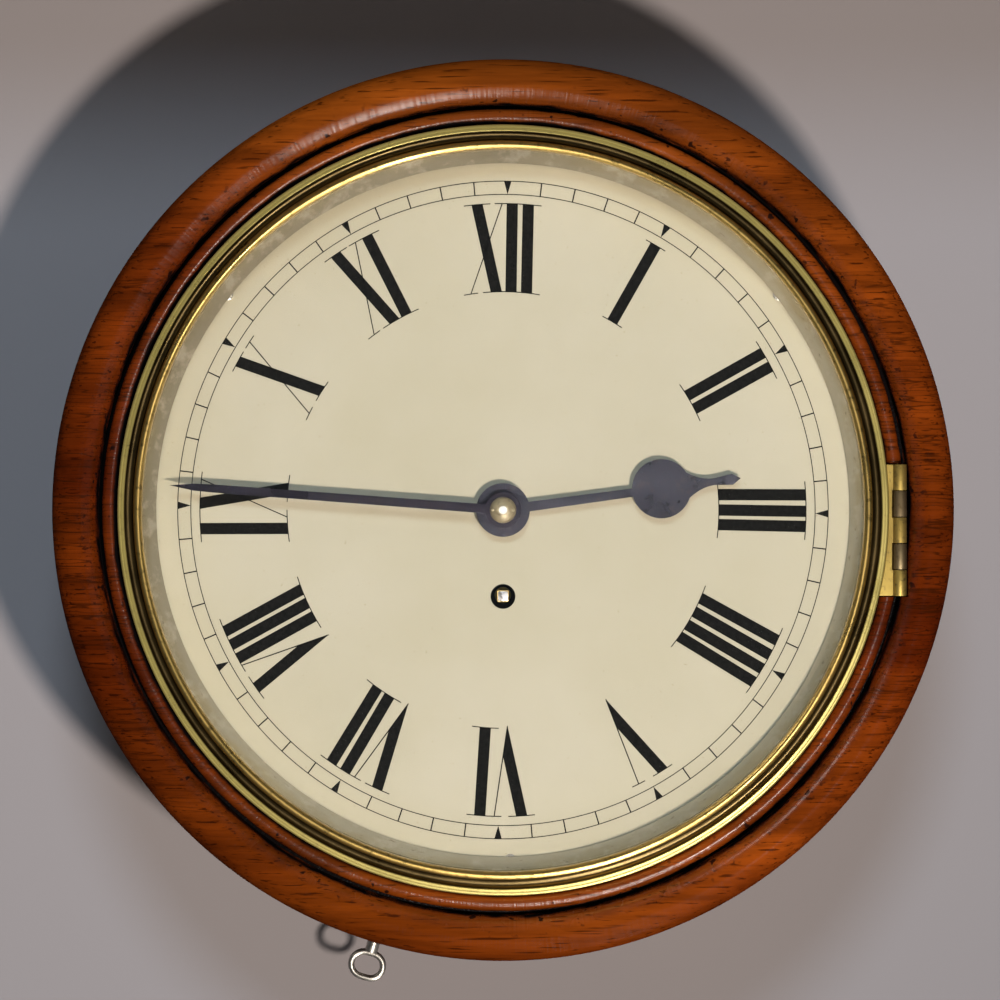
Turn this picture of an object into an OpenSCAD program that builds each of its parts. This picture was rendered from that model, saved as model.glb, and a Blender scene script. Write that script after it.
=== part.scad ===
// Wall clock with a fusee movement behind a round painted dial.
// The wall is the plane Y = 0, the dial faces -Y and its centre lies on the Y axis.
// Depths are measured from the wall towards the viewer.

/* [Case] */
// Width over the two sides
case_w = 210; // [204:1:216]
// Thickness of the sides, top and bottom
wall_t = 9; // [7:0.5:10]
// Thickness of the back board
back_t = 10; // [8:0.5:12]
// Depth from the wall to the back of the dial surround
case_d = 105; // [104:0.5:112]
// Height of the case top above the dial centre
case_top = 113; // [108:1:116]
// How far the rounded bottom lies inside the edge of the surround
foot_inside = 7; // [4:0.5:10]
// Half angle of the door in the bottom
foot_door_a = 22; // [21:0.25:24]
// Height of the side door
side_door_h = 108; // [80:1:112]
// Margin of both doors to the back board and to the surround
door_margin = 12; // [10:0.5:14]
// Running gap round a door
door_gap = 0.5; // [0.4:0.05:0.8]

/* [Surround] */
// Outer radius of the turned dial surround
surround_r = 165; // [163:0.5:168]
// Thickness from back face to the crown of the torus
surround_t = 31; // [30:0.5:34]
// Radius of the opening behind the dial
surround_hole_r = 95; // [93:0.5:95.5]
// Width of the torus moulding
torus_w = 16.5; // [15:0.25:18]
// Width of the dark quirk inside the torus
quirk_w = 2.6; // [2:0.1:3.2]
// Depth of the quirk below the inner bead
quirk_deep = 3; // [2:0.25:4]
// Width of the small bead between quirk and bezel
bead_w = 4.6; // [4:0.1:5]
// Depth of the dial ledge above the back face
ledge_up = 6.5; // [5:0.25:8]
// Depth of the bezel seat above the back face
seat_up = 15.7; // [15.5:0.1:17]

/* [Bezel] */
// Clearance between the edge of the bezel and its seat
bezel_gap = 0.4; // [0.2:0.05:0.8]
// Width of the brass from outer edge to glass opening
bezel_w = 9; // [8:0.25:9.5]
// Thickness of the bezel from its seat to the front
bezel_t = 13; // [12.5:0.1:13.5]
// Thickness of the glass
glass_t = 2; // [1.5:0.1:2.4]
// Width of the sight ring from the glass opening to the dial
sight_w = 3.7; // [3:0.1:5]

/* [Dial and hands] */
// How far the edge of the iron dial lies inside the bezel seat
dial_inside = 5.3; // [4.8:0.1:7]
// Thickness of the dial plate
dial_t = 1.5; // [1:0.1:2]
// How far the dial screws stand inside the edge of the dial
dial_screw_in = 6.6; // [5:0.2:8]
// Gap between the tip of the minute hand and the sight ring
minute_clear = 5.2; // [3:0.2:12]
// Length of the hour hand from the centre
hour_len = 88.5; // [80:0.5:94]
// Thickness of both hands
hand_t = 1; // [0.8:0.1:1.2]
// Direction of the minute hand, clockwise from twelve
minute_at = 274.25; // [0:0.25:360]
// Direction of the hour hand, clockwise from twelve
hour_at = 82.35; // [0:0.25:360]

/* [Movement] */
// Width of the movement plates
plate_w = 120; // [118:1:126]
// Thickness of the movement plates
plate_t = 2.5; // [2:0.25:3]
// Distance between the plates
plate_gap = 45; // [44:0.5:47]
// Space between front plate and dial for the motion work
dial_gap = 17; // [16.5:0.25:18]
// Radius of the pillars
pillar_r = 5; // [4:0.25:6]
// Radial clearance of a running pivot
run_gap = 0.05; // [0.03:0.01:0.08]
// Clearance between parts that pass without touching
air = 0.4; // [0.3:0.05:0.5]
// Module of the great wheel and centre pinion
great_m = 0.6154; // [0.6:0.0002:0.63]
// Module of the centre wheel and third pinion
centre_m = 0.5; // [0.48:0.005:0.52]
// Module of the third wheel and escape pinion
third_m = 0.47; // [0.45:0.005:0.48]
// Radius of the escape wheel over its tooth tips
escape_r = 16.5; // [15.5:0.1:17]
// Distance of the cannon wheel from the minute wheel
motion_c = 18; // [17.5:0.1:18.6]
// Largest radius of the fusee cone
fusee_r = 20; // [18:0.5:21]
// Smallest radius of the fusee cone
fusee_small_r = 11; // [10:0.5:12]
// Length of the fusee cone
fusee_len = 28; // [26:0.5:29]
// Radius of the mainspring barrel
barrel_r = 19; // [17:0.5:19.5]
// Length of the barrel
barrel_len = 26; // [24:0.5:27]
// Thickness of the gut line
gut_d = 1.2; // [1:0.1:1.4]
// Width of the winding square
square_w = 4.1; // [3.8:0.1:4.4]

/* [Pendulum] */
// Space under the pendulum bob for the rating nut and its swing
bob_clear = 17; // [15:0.5:24]
// Radius of the pendulum bob
bob_r = 25; // [20:0.5:26]
// Distance of the pendulum behind the back plate
pendulum_behind = 17.5; // [16.5:0.5:19]

/* [Bezel hinge] */
// Length of the butt hinge
butt_len = 48; // [44:1:52]
// Height of the middle of the hinge below the dial centre
butt_low = 7.3; // [0:0.1:12]
// Radius of the hinge knuckles
knuckle_r = 2.4; // [2.2:0.1:2.6]

/* [Key and lock] */
// Angle of the lock left of the lowest point
key_a = 16.6; // [16:0.2:17.2]
// Distance of the key in front of the wall
key_d = 52; // [48:0.5:56]
// Width of the key bow
bow_w = 14.9; // [14:0.1:16]
// Height of the key bow
bow_h = 12.1; // [11:0.1:13]
// Thickness of the wire that forms the bow
bow_wire = 2.5; // [2.2:0.1:2.8]
// How far the middle of the bow stands out of the rounded bottom
bow_out = 26; // [24:0.5:28]
// Travel of the lock bolt
bolt_throw = 5; // [4:0.25:5.5]

/* [Hanging] */
// Radius of the hole in the hanging plate
hang_r = 5; // [4:0.25:5.5]
// How far the hanging hole lies below the case top
hang_down = 25; // [23:1:30]

/* [Hidden] */
$fn = 96;
half_w = case_w / 2;
in_w = half_w - wall_t;
foot_r = surround_r - foot_inside;
foot_in = foot_r - wall_t;
hang_up = case_top - hang_down;
bow_at = foot_r + bow_out;
front_d = case_d + surround_t;
ledge_d = case_d + ledge_up;
seat_d = case_d + seat_up;
dial_front = ledge_d + dial_t;
torus_in = surround_r - torus_w;
torus_d = front_d - torus_w / 2;
quirk_in = torus_in - quirk_w;
seat_r = quirk_in - bead_w;
bead_d = seat_d + 6;
bezel_d = seat_d + 0.3;
bezel_front = bezel_d + bezel_t;
bezel_r = seat_r - bezel_gap;
bezel_in = bezel_r - bezel_w;
sight_r = bezel_in - sight_w;
dial_r = seat_r - dial_inside;
dial_screw_at = dial_r - dial_screw_in;
minute_len = sight_r - minute_clear;
lip_t = 5;
glass_front = bezel_front - lip_t;
glass_back = glass_front - glass_t;
glass_r = bezel_in + 2.2;
butt_x = seat_r + 3.7;
butt_d = bead_d + 4.3;
butt_z0 = -butt_low - butt_len / 2;
knuckle_l = butt_len / 5;
leaf_t = 1.8;
plate_front = ledge_d - dial_gap;
plate_rear = plate_front - plate_t;
back_front = plate_rear - plate_gap;
back_rear = back_front - plate_t;
pendulum_d = back_rear - pendulum_behind;
wood = "#6e3212";
brass = "#b8923e";
steel = "#8d8f94";
blued = "#2c2f3d";
cream = "#d9ceb2";

// Places, in the plane of the dial as [across, up]
great_teeth = 96;
centre_leaves = 8;
centre_teeth = 84;
third_leaves = 7;
third_teeth = 78;
escape_leaves = 7;
cannon_teeth = 36;
minute_leaves = 6;
hour_teeth = 72;
great_at = [0, -(great_teeth + centre_leaves) * great_m / 2];
third_c = (centre_teeth + third_leaves) * centre_m / 2;
third_x = 12;
third_at = [third_x, sqrt(third_c * third_c - third_x * third_x)];
escape_c = (third_teeth + escape_leaves) * third_m / 2;
escape_at = [0, third_at[1] + sqrt(escape_c * escape_c - third_at[0] * third_at[0])];
pallet_at = [0, escape_at[1] + escape_r + 6.2];
pendulum_len = pallet_at[1] + foot_in - bob_r - bob_clear;
barrel_at = [-(barrel_r + fusee_r - 1), great_at[1] + 20];
minute_arbor_at = [motion_c * cos(45), -motion_c * sin(45)];
plate_low = -70;
plate_high = 72;
pillar_at = [for (x = [-1, 1], z = [plate_low + 9, plate_high - 9]) [x * (plate_w / 2 - 8), z]];
foot_at = [for (x = [-1, 1], z = [plate_low + 20, plate_high - 22]) [x * (plate_w / 2 - 8), z]];
block_up = case_top - 35;
block_h = 24;
block_w = 16;
block_d = 20;
peg_r = 4;
screw_a = [38, 142, 271.2];
dial_screw_l = ledge_up - 0.5;

// Solid between two depths
module slab(d0, d1) {
    translate([0, -d0, 0]) rotate([90, 0, 0]) linear_extrude(d1 - d0) children();
}
// Turned solid, its outline drawn as radius and depth
module turned() {
    rotate([90, 0, 0]) rotate_extrude($fn = 128) children();
}
module rod(d0, d1, r) {
    translate([0, -d0, 0]) rotate([90, 0, 0]) cylinder(h = d1 - d0, r = r);
}
module at(place) {
    translate([place[0], 0, place[1]]) children();
}
// Box from its corners as [left, right], [depth, depth], [low, high]
module block(x, d, z) {
    translate([x[0], -d[1], z[0]]) cube([x[1] - x[0], d[1] - d[0], z[1] - z[0]]);
}
module box2(x0, x1, y0, y1) {
    translate([x0, y0]) square([x1 - x0, y1 - y0]);
}
// Sector of a ring round the lowest point, in the plane of the dial
module foot_sector(r0, r1, a) {
    intersection() {
        difference() {
            circle(r = r1, $fn = 256);
            circle(r = r0, $fn = 256);
        }
        polygon([[0, 0], [-2 * r1 * sin(a), -2 * r1 * cos(a)], [2 * r1 * sin(a), -2 * r1 * cos(a)]]);
    }
}

// Case
module case_outline(r) {
    intersection() {
        translate([-half_w, -foot_r]) square([case_w, foot_r + case_top]);
        union() {
            circle(r = r, $fn = 256);
            box2(-half_w, half_w, 0, case_top);
        }
    }
}
module back_board() {
    color(wood) difference() {
        slab(0, back_t) case_outline(foot_r);
        at([0, hang_up]) rod(-1, back_t + 1, hang_r + 4);
        slab(-1, hang_plate_t) hang_plate_outline();
        for (p = hang_screw_at) at(p) rod(hang_plate_t - 0.5, hang_plate_t + 7, screw_r);
    }
}
module side_blank(sgn) {
    x0 = sgn > 0 ? in_w : -half_w;
    intersection() {
        block([x0, x0 + wall_t], [back_t, case_d], [-foot_in, case_top - wall_t]);
        union() {
            slab(back_t, case_d) circle(r = foot_in, $fn = 256);
            block([-half_w, half_w], [back_t, case_d], [0, case_top]);
        }
    }
}
module peg_bores(sgn) {
    for (z = [-block_up, block_up]) translate([sgn * in_w - 20, -peg_at_d, z])
        rotate([0, 90, 0]) cylinder(h = 40, r = peg_r);
}
module case_left_side() {
    color(wood) difference() {
        side_blank(-1);
        peg_bores(-1);
    }
}
module case_right_side() {
    color(wood) difference() {
        side_blank(1);
        peg_bores(1);
        block([in_w - 1, half_w + 1], [side_d0 - door_gap, side_d1 + door_gap],
            [-side_door_h / 2 - door_gap, side_door_h / 2 + door_gap]);
        hinge_housings();
    }
}
module case_top() {
    color(wood) block([-half_w, half_w], [back_t, case_d], [case_top - wall_t, case_top]);
}
module case_bottom() {
    color(wood) difference() {
        intersection() {
            slab(back_t, case_d) difference() {
                circle(r = foot_r, $fn = 256);
                circle(r = foot_in, $fn = 256);
            }
            block([-half_w, half_w], [back_t, case_d], [-foot_r - 1, 0]);
        }
        slab(foot_d0 - door_gap, foot_d1 + door_gap)
            foot_sector(foot_in - 5, foot_r + 5, foot_door_a + gap_a);
        bottom_hinge_room();
    }
}
hang_plate_t = 2;
hang_plate_w = 34;
hang_plate_h = 40;
screw_r = 1.6;
hang_screw_at = [[-11, hang_up - 13], [11, hang_up - 13], [0, hang_up + 14]];
module hang_plate_outline() {
    translate([-hang_plate_w / 2, hang_up - hang_plate_h / 2]) square([hang_plate_w, hang_plate_h]);
}
module hanging_plate() {
    color(brass) difference() {
        slab(0, hang_plate_t) hang_plate_outline();
        at([0, hang_up]) rod(-1, hang_plate_t + 1, hang_r);
        for (p = hang_screw_at) at(p) {
            rod(-1, hang_plate_t + 1, screw_r);
            turned() polygon([[0, -0.1], [screw_r + 1.3, -0.1], [screw_r, 1.2], [0, 1.2]]);
        }
    }
}
module plate_screws() {
    color(steel) for (p = hang_screw_at) at(p) difference() {
        union() {
            turned() polygon([[0, 0], [screw_r + 1.15, 0], [screw_r, 1.2], [0, 1.2]]);
            rod(0.5, hang_plate_t + 7, screw_r);
        }
        block([-4, 4], [-1, 0.5], [-0.3, 0.3]);
    }
}
peg_at_d = case_d - block_d / 2;
module surround_profile() {
    difference() {
        union() {
            box2(surround_hole_r, surround_r, case_d, torus_d);
            translate([surround_r - torus_w / 2, torus_d]) circle(r = torus_w / 2);
            box2(seat_r, quirk_in, case_d, bead_d);
            translate([seat_r + bead_w / 2, bead_d]) circle(r = bead_w / 2);
        }
        box2(surround_hole_r - 1, dial_r + 1, ledge_d, front_d);
        box2(surround_hole_r - 1, seat_r, seat_d, front_d + 1);
        box2(quirk_in, torus_in, bead_d - quirk_deep, front_d);
    }
}
module dial_surround() {
    color(wood) difference() {
        turned() surround_profile();
        block([seat_r - 8, butt_x + knuckle_r + 0.3], [seat_d - 1, front_d + 1],
            [butt_z0 - 0.4, butt_z0 + butt_len + 0.4]);
        for (a = screw_a) at(dial_screw_at * [cos(a), sin(a)])
            rod(ledge_d - dial_screw_l, ledge_d + 1, dial_screw_r);
        block([-catch_x - 0.6, -seat_r + 4], [seat_d - catch_l - 1, seat_d + 1],
            [-catch_h / 2 - air, catch_h / 2 + air]);
    }
}
module surround_blocks() {
    color("#a47a4a") for (x = [-1, 1], z = [-1, 1]) difference() {
        block([x > 0 ? in_w - block_w : -in_w, x > 0 ? in_w : block_w - in_w],
            [case_d - block_d, case_d], [z * block_up - block_h / 2, z * block_up + block_h / 2]);
        peg_bores(x);
    }
}
module case_pegs() {
    color("#8a5a2c") for (x = [-1, 1], z = [-block_up, block_up])
        translate([x > 0 ? half_w + 1.5 : -half_w - 1.5, -peg_at_d, z]) rotate([0, -90 * x, 0])
            cylinder(h = wall_t + block_w - 2, r = peg_r);
}

// Side door with its two hinges and knob
side_d0 = back_t + door_margin;
side_d1 = case_d - door_margin;
side_pin_x = half_w + 2.2;
side_pin_d = side_d0 - door_gap / 2;
side_hinge_z = side_door_h / 2 - 18;
side_hinge_l = 24;
side_knuckle_r = 2;
side_leaf_t = 1.2;
pin_r = 0.9;
module hinge_housings() {
    for (z = [-side_hinge_z, side_hinge_z])
        block([half_w - side_leaf_t, half_w + 1], [side_d0 - 9, side_d0 + 10],
            [z - side_hinge_l / 2, z + side_hinge_l / 2]);
}
module side_door() {
    color(wood) difference() {
        block([in_w, half_w], [side_d0, side_d1], [-side_door_h / 2, side_door_h / 2]);
        hinge_housings();
        translate([in_w - 1, -knob_d, 0]) rotate([0, 90, 0]) cylinder(h = wall_t + 2, r = knob_stem_r);
    }
}
knob_d = side_d1 - 9;
knob_stem_r = 2;
knob_r = 5.5;
module side_door_knob() {
    color(brass) translate([half_w, -knob_d, 0]) rotate([0, 90, 0]) rotate_extrude() union() {
        box2(0, knob_stem_r, -wall_t, 3);
        box2(0, knob_r - 1, 0, 1);
        difference() {
            translate([0, 5]) circle(r = knob_r);
            box2(-10, 0, -10, 20);
            box2(0, 10, -10, 2);
            box2(0, 10, 8, 20);
        }
    }
}
// One leaf of a side hinge with every second knuckle
module side_leaf(door) {
    third = side_hinge_l / 3;
    for (z = [-side_hinge_z, side_hinge_z], k = door ? [1] : [0, 2])
        translate([side_pin_x, -side_pin_d, z - side_hinge_l / 2 + k * third + (k > 0 ? 0.15 : 0)])
            difference() {
                union() {
                    cylinder(h = third - (k == 1 ? 0.3 : 0.15), r = side_knuckle_r);
                    translate([-side_pin_x + half_w - side_leaf_t, door ? -1.5 : 0, 0])
                        cube([side_leaf_t + 0.8, 1.5, third - (k == 1 ? 0.3 : 0.15)]);
                }
                translate([0, 0, -1]) cylinder(h = third + 2, r = pin_r + (door ? run_gap : 0));
            }
    for (z = [-side_hinge_z, side_hinge_z])
        block([half_w - side_leaf_t, half_w], door ? [side_d0 + 0.05, side_d0 + 10]
            : [side_d0 - 9, side_d0 - door_gap], [z - side_hinge_l / 2, z + side_hinge_l / 2]);
}

// Bottom door on a butt hinge at its right edge, with lock, bolt and key
foot_d0 = back_t + door_margin;
foot_d1 = case_d - door_margin;
gap_a = door_gap / foot_r * 180 / PI;
foot_pin_r = foot_r + 2.2;
foot_pin_a = foot_door_a + gap_a / 2;
foot_hinge_l = 21;
foot_hinge_d = [foot_d0 + 6, foot_d1 - 6 - foot_hinge_l];
foot_leaf_w = 9;
module at_foot_hinge() {
    rotate([0, -foot_pin_a, 0]) children();
}
module leaf_ring(d, x0, x1) {
    intersection() {
        slab(d, d + foot_hinge_l) difference() {
            circle(r = foot_r, $fn = 256);
            circle(r = foot_r - side_leaf_t, $fn = 256);
        }
        block([x0, x1], [d - 1, d + foot_hinge_l + 1], [-foot_r - 1, 0]);
    }
}
module bottom_hinge_room() {
    at_foot_hinge() for (d = foot_hinge_d) intersection() {
        slab(d, d + foot_hinge_l) difference() {
            circle(r = foot_r + 1, $fn = 256);
            circle(r = foot_r - side_leaf_t, $fn = 256);
        }
        block([-foot_leaf_w - 1, foot_leaf_w + 1], [d - 1, d + foot_hinge_l + 1], [-foot_r - 2, 0]);
    }
}
module foot_leaf(door) {
    third = foot_hinge_l / 3;
    s = door ? -1 : 1;
    at_foot_hinge() for (d = foot_hinge_d) {
        leaf_ring(d, door ? -foot_leaf_w : door_gap / 2, door ? -door_gap / 2 : foot_leaf_w);
        for (k = door ? [1] : [0, 2]) {
            k0 = d + k * third + (k > 0 ? 0.15 : 0);
            k1 = d + (k + 1) * third - (k < 2 ? 0.15 : 0);
            difference() {
                union() {
                    at([0, -foot_pin_r]) rod(k0, k1, side_knuckle_r);
                    block([door ? -1.5 : 0, door ? 0 : 1.5], [k0, k1],
                        [-foot_r - 0.8, -foot_r + side_leaf_t]);
                }
                at([0, -foot_pin_r]) rod(k0 - 1, k1 + 1, pin_r + (door ? run_gap : 0));
            }
        }
    }
}
module side_door_leaves() {
    color(brass) side_leaf(true);
}
module bottom_door_leaves() {
    color(brass) foot_leaf(true);
}
module door_hinges() {
    color(brass) {
        side_leaf(false);
        foot_leaf(false);
    }
}
module door_hinge_pins() {
    color(steel) {
        for (z = [-side_hinge_z, side_hinge_z])
            translate([side_pin_x, -side_pin_d, z - side_hinge_l / 2]) cylinder(h = side_hinge_l, r = pin_r);
        at_foot_hinge() at([0, -foot_pin_r])
            for (d = foot_hinge_d) rod(d, d + foot_hinge_l, pin_r);
    }
}
module at_key() {
    rotate([0, key_a, 0]) children();
}
key_r = 1.7;
bit_l = 6.5;
bit_t = 1.8;
lock_w = 28;
lock_h = 12;
cavity_r = bit_l + 1;
bolt_d = [key_d + cavity_r + 1, key_d + cavity_r + 7];
bolt_z = [-foot_in + 3.5, -foot_in + 8.5];
bolt_end = 9;
module key_post(r, z0, z1) {
    translate([0, -key_d, z0]) cylinder(h = z1 - z0, r = r);
}
module key_slot(z0, z1) {
    key_post(key_r + 0.3, z0, z1);
    block([-bit_l - 0.4, 0], [key_d - bit_t / 2 - 0.3, key_d + bit_t / 2 + 0.3], [z0, z1]);
}
module bottom_door() {
    color(wood) difference() {
        slab(foot_d0, foot_d1) foot_sector(foot_in, foot_r, foot_door_a);
        bottom_hinge_room();
        at_key() key_slot(-foot_r - 3, -foot_in + 3);
    }
}
module lock_case() {
    color(steel) at_key() difference() {
        intersection() {
            block([-lock_w / 2, lock_w / 2], [key_d - cavity_r - 4, bolt_d[1] + 3],
                [-foot_in - 2, -foot_in + lock_h]);
            slab(0, case_d) circle(r = foot_in, $fn = 256);
        }
        key_slot(-foot_in - 3, -foot_in + 3);
        key_post(cavity_r, -foot_in + 2, -foot_in + lock_h - 2);
        block([-lock_w / 2 - 1, bolt_end + air], [bolt_d[0] - air, bolt_d[1] + air],
            [bolt_z[0] - air, bolt_z[1] + air]);
    }
}
module lock_bolt() {
    color(brass) at_key() block([-lock_w / 2, bolt_end], bolt_d, bolt_z);
}
module key_bow() {
    r0 = (bow_h - bow_wire) / 2;
    run = bow_w - bow_h;
    translate([0, -key_d, -bow_at]) {
        for (s = [-1, 1]) {
            translate([s * run / 2, 0, 0]) rotate([90, 0, 0]) intersection() {
                rotate_extrude($fn = 64) translate([r0, 0]) circle(r = bow_wire / 2, $fn = 32);
                translate([s > 0 ? 0 : -bow_w, -bow_w, -bow_w]) cube([bow_w, 2 * bow_w, 2 * bow_w]);
            }
            translate([-run / 2, 0, s * r0]) rotate([0, 90, 0])
                cylinder(h = run, r = bow_wire / 2, $fn = 32);
        }
    }
}
module door_key() {
    color(steel) at_key() {
        difference() {
            union() {
                key_bow();
                key_post(key_r, -bow_at + bow_h / 2 - 1, -foot_in + 9);
                key_post(key_r + 0.8, -bow_at + bow_h / 2 - 0.6, -bow_at + bow_h / 2 + 3.2);
                difference() {
                    block([-bit_l, 0], [key_d - bit_t / 2, key_d + bit_t / 2],
                        [-foot_in + 2.6, -foot_in + 8.6]);
                    block([-bit_l - 1, -bit_l + 2.4], [key_d - 2, key_d + 2],
                        [-foot_in + 4.8, -foot_in + 6]);
                }
            }
        }
    }
}

// Dial, bezel and bezel hinge
catch_x = bezel_r - 0.5;
catch_l = 4;
catch_h = 12;
catch_t = 2.4;
dial_hole_r = 5.8;
winding_hole_r = 4.6;
dial_screw_r = 1.2;
module dial_plate() {
    color(cream) slab(ledge_d, dial_front) difference() {
        circle(r = dial_r);
        circle(r = dial_hole_r);
        translate(great_at) circle(r = winding_hole_r);
        for (a = screw_a) translate(dial_screw_at * [cos(a), sin(a)]) circle(r = dial_screw_r);
    }
}
module dial_screws() {
    color(brass) for (a = screw_a) at(dial_screw_at * [cos(a), sin(a)]) {
        rod(ledge_d - dial_screw_l, dial_front, dial_screw_r);
        difference() {
            turned() polygon([[0, dial_front], [2.1, dial_front], [1.6, dial_front + 0.35],
                [0, dial_front + 0.35]]);
            block([-3, 3], [dial_front + 0.15, dial_front + 1], [-0.2, 0.2]);
        }
    }
}
foot_post_r = 2.5;
foot_end_r = 1.5;
module dial_feet() {
    color(brass) for (p = foot_at) at(p) {
        rod(plate_front, ledge_d, foot_post_r);
        difference() {
            rod(plate_rear - 3, plate_front, foot_end_r);
            cross_pin(plate_rear - 1.3, 9);
        }
        cross_pin(plate_rear - 1.3, 9);
    }
}
module cross_pin(d, l) {
    translate([-l / 2, -d, 0]) rotate([0, 90, 0]) cylinder(h = l, r = 0.6, $fn = 24);
}
module bezel_ring() {
    skirt = bezel_r - 3.7;
    color(brass) turned() difference() {
        union() {
            box2(skirt, bezel_r, bezel_d, bezel_d + 9);
            translate([bezel_r - 1.4, bezel_d + 9]) circle(r = 1.4);
            box2(bezel_in, bezel_r - 1.4, glass_front, bezel_front - 2.6);
            box2(bezel_in, bezel_in + 3, glass_front, bezel_front - 1.5);
            translate([bezel_in + 1.5, bezel_front - 1.5]) circle(r = 1.5);
        }
        translate([bezel_in + 4.8, bezel_front - 1.4]) circle(r = 2.1);
        translate([bezel_r - 1.3, bezel_d + 10.5]) circle(r = 0.35);
    }
}
module bezel_glass() {
    color("#cfdcdc", 0.4) rod(glass_back, glass_front, glass_r);
}
module sight_ring() {
    rim = bezel_r - 3.7;
    foot = dial_front + 0.75;
    color("#b3a888") turned() polygon([[sight_r, foot], [bezel_in, glass_back], [rim, glass_back],
        [rim, glass_back - 1.2], [bezel_in + 1.5, glass_back - 1.2], [sight_r + 1.3, foot]]);
}
module knuckle(k, bore) {
    z0 = butt_z0 + k * knuckle_l + (k > 0 ? 0.15 : 0);
    z1 = butt_z0 + (k + 1) * knuckle_l - (k < 4 ? 0.15 : 0);
    difference() {
        union() {
            translate([butt_x, -butt_d, z0]) cylinder(h = z1 - z0, r = knuckle_r);
            block([k % 2 == 0 ? butt_x - knuckle_r - 0.6 : butt_x, k % 2 == 0 ? butt_x : butt_x + leaf_t],
                [k % 2 == 0 ? butt_d - 1.6 : butt_d - knuckle_r - 0.4, k % 2 == 0 ? butt_d - 0.2 : butt_d],
                [z0, z1]);
        }
        translate([butt_x, -butt_d, z0 - 1]) cylinder(h = knuckle_l + 2, r = bore);
    }
}
module bezel_hinge_leaf() {
    color(brass) {
        for (k = [0, 2, 4]) knuckle(k, 0.9 + run_gap);
        difference() {
            block([seat_r - 7, butt_x - knuckle_r - 0.4], [bezel_d + 1, butt_d - 0.2],
                [butt_z0, butt_z0 + butt_len]);
            rod(bezel_d - 1, bezel_front + 1, bezel_r, $fn = 720);
        }
    }
}
module case_hinge_leaf() {
    color("#6f5c33") {
        for (k = [1, 3]) knuckle(k, 0.9);
        block([butt_x + 0.1, butt_x + leaf_t], [seat_d - 1, butt_d - knuckle_r - 0.3],
            [butt_z0, butt_z0 + butt_len]);
    }
}
module bezel_hinge_pin() {
    color(steel) translate([butt_x, -butt_d, butt_z0]) cylinder(h = butt_len, r = 0.9);
}
module bezel_catch() {
    color(brass) block([-catch_x, -catch_x + catch_t], [bezel_d - catch_l, bezel_d],
        [-catch_h / 2, catch_h / 2]);
}

// Hands
minute_d = dial_front + 7.6;
hour_d = dial_front + 4;
hour_hub_r = 9.9;
minute_hub_r = 6.6;
module minute_outline() {
    union() {
        circle(r = minute_hub_r);
        polygon([[-1.7, 4], [-1.5, minute_len - 16], [-1.3, minute_len - 9], [0, minute_len],
            [1.3, minute_len - 9], [1.5, minute_len - 16], [1.7, 4]]);
    }
}
spade_r = 10.9;
spade_at = hour_len - 29.5;
neck_at = hour_len - 10;
module hour_outline() {
    swell = [for (t = [0 : 0.125 : 1])
        [1.25 + 8.9 * (1 - t) * (1 - t), spade_at + 4 + (neck_at - spade_at - 4) * t]];
    tip = [[2.05, hour_len - 3.2], [0, hour_len]];
    half = concat(swell, tip);
    union() {
        circle(r = hour_hub_r);
        polygon([[-1.8, 7], [-1.5, spade_at], [1.5, spade_at], [1.8, 7]]);
        translate([0, spade_at]) circle(r = spade_r);
        polygon(concat(half, [for (i = [len(half) - 2 : -1 : 0]) [-half[i][0], half[i][1]]]));
    }
}
module minute_hand() {
    color(blued) slab(minute_d, minute_d + hand_t) rotate(-minute_at) difference() {
        minute_outline();
        circle(r = cannon_r);
    }
}
module hour_hand() {
    color(blued) slab(hour_d, hour_d + hand_t) rotate(-hour_at) difference() {
        hour_outline();
        circle(r = hour_pipe_r);
    }
}
module hand_collet() {
    d0 = minute_d + hand_t;
    color(brass) difference() {
        turned() intersection() {
            box2(centre_r, 6, d0, d0 + 3.2);
            translate([0, d0 - 1.5]) circle(r = 5.1);
        }
        cross_pin(d0 + 1.8, 12);
    }
    color(steel) cross_pin(d0 + 1.8, 8);
}

// Wheels and pinions with cycloidal teeth
// Angle by which an epicycloid flank has turned at radius r
function flank(pitch, roll, r) =
    let (c = pitch + roll, turn = acos((c * c + roll * roll - r * r) / (2 * c * roll)),
        a = turn * roll / pitch)
    atan2(c * sin(a) - roll * sin(a + turn), c * cos(a) - roll * cos(a + turn));
function polar(r, a) = [r * cos(a), r * sin(a)];
// Outline of a wheel with n teeth of module m that drives a pinion of p leaves
function wheel_points(n, m, p, phase) =
    let (pitch = n * m / 2, roll = p * m / 4, half = 0.235 * 360 / n, tip = pitch + 1.15 * m,
        mid = pitch + 0.65 * m, root = pitch - 1.15 * m)
    [for (i = [0 : n - 1]) let (a = phase + i * 360 / n) each [polar(root, a - half), polar(pitch, a - half),
        polar(mid, a - half + flank(pitch, roll, mid)), polar(tip, a - half + flank(pitch, roll, tip)),
        polar(tip, a + half - flank(pitch, roll, tip)), polar(mid, a + half - flank(pitch, roll, mid)),
        polar(pitch, a + half), polar(root, a + half)]];
// Outline of a pinion with p radial leaves
function pinion_points(p, m, phase) =
    let (pitch = p * m / 2, half = 58 / p, root = pitch - 1.7 * m)
    [for (i = [0 : p - 1]) let (a = phase + i * 360 / p) each [polar(root, a - half), polar(pitch, a - half),
        polar(pitch + 0.35 * m, a - 0.75 * half), polar(pitch + 0.55 * m, a - 0.35 * half),
        polar(pitch + 0.55 * m, a + 0.35 * half), polar(pitch + 0.35 * m, a + 0.75 * half),
        polar(pitch, a + half), polar(root, a + half)]];
// Saw teeth for ratchets
function saw_points(n, r, deep, lean) = [for (i = [0 : n - 1]) let (a = i * 360 / n)
    each [polar(r - deep, a), polar(r, a + lean * 0.1 * 360 / n), polar(r - deep, a + lean * 0.9 * 360 / n)]];
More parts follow.
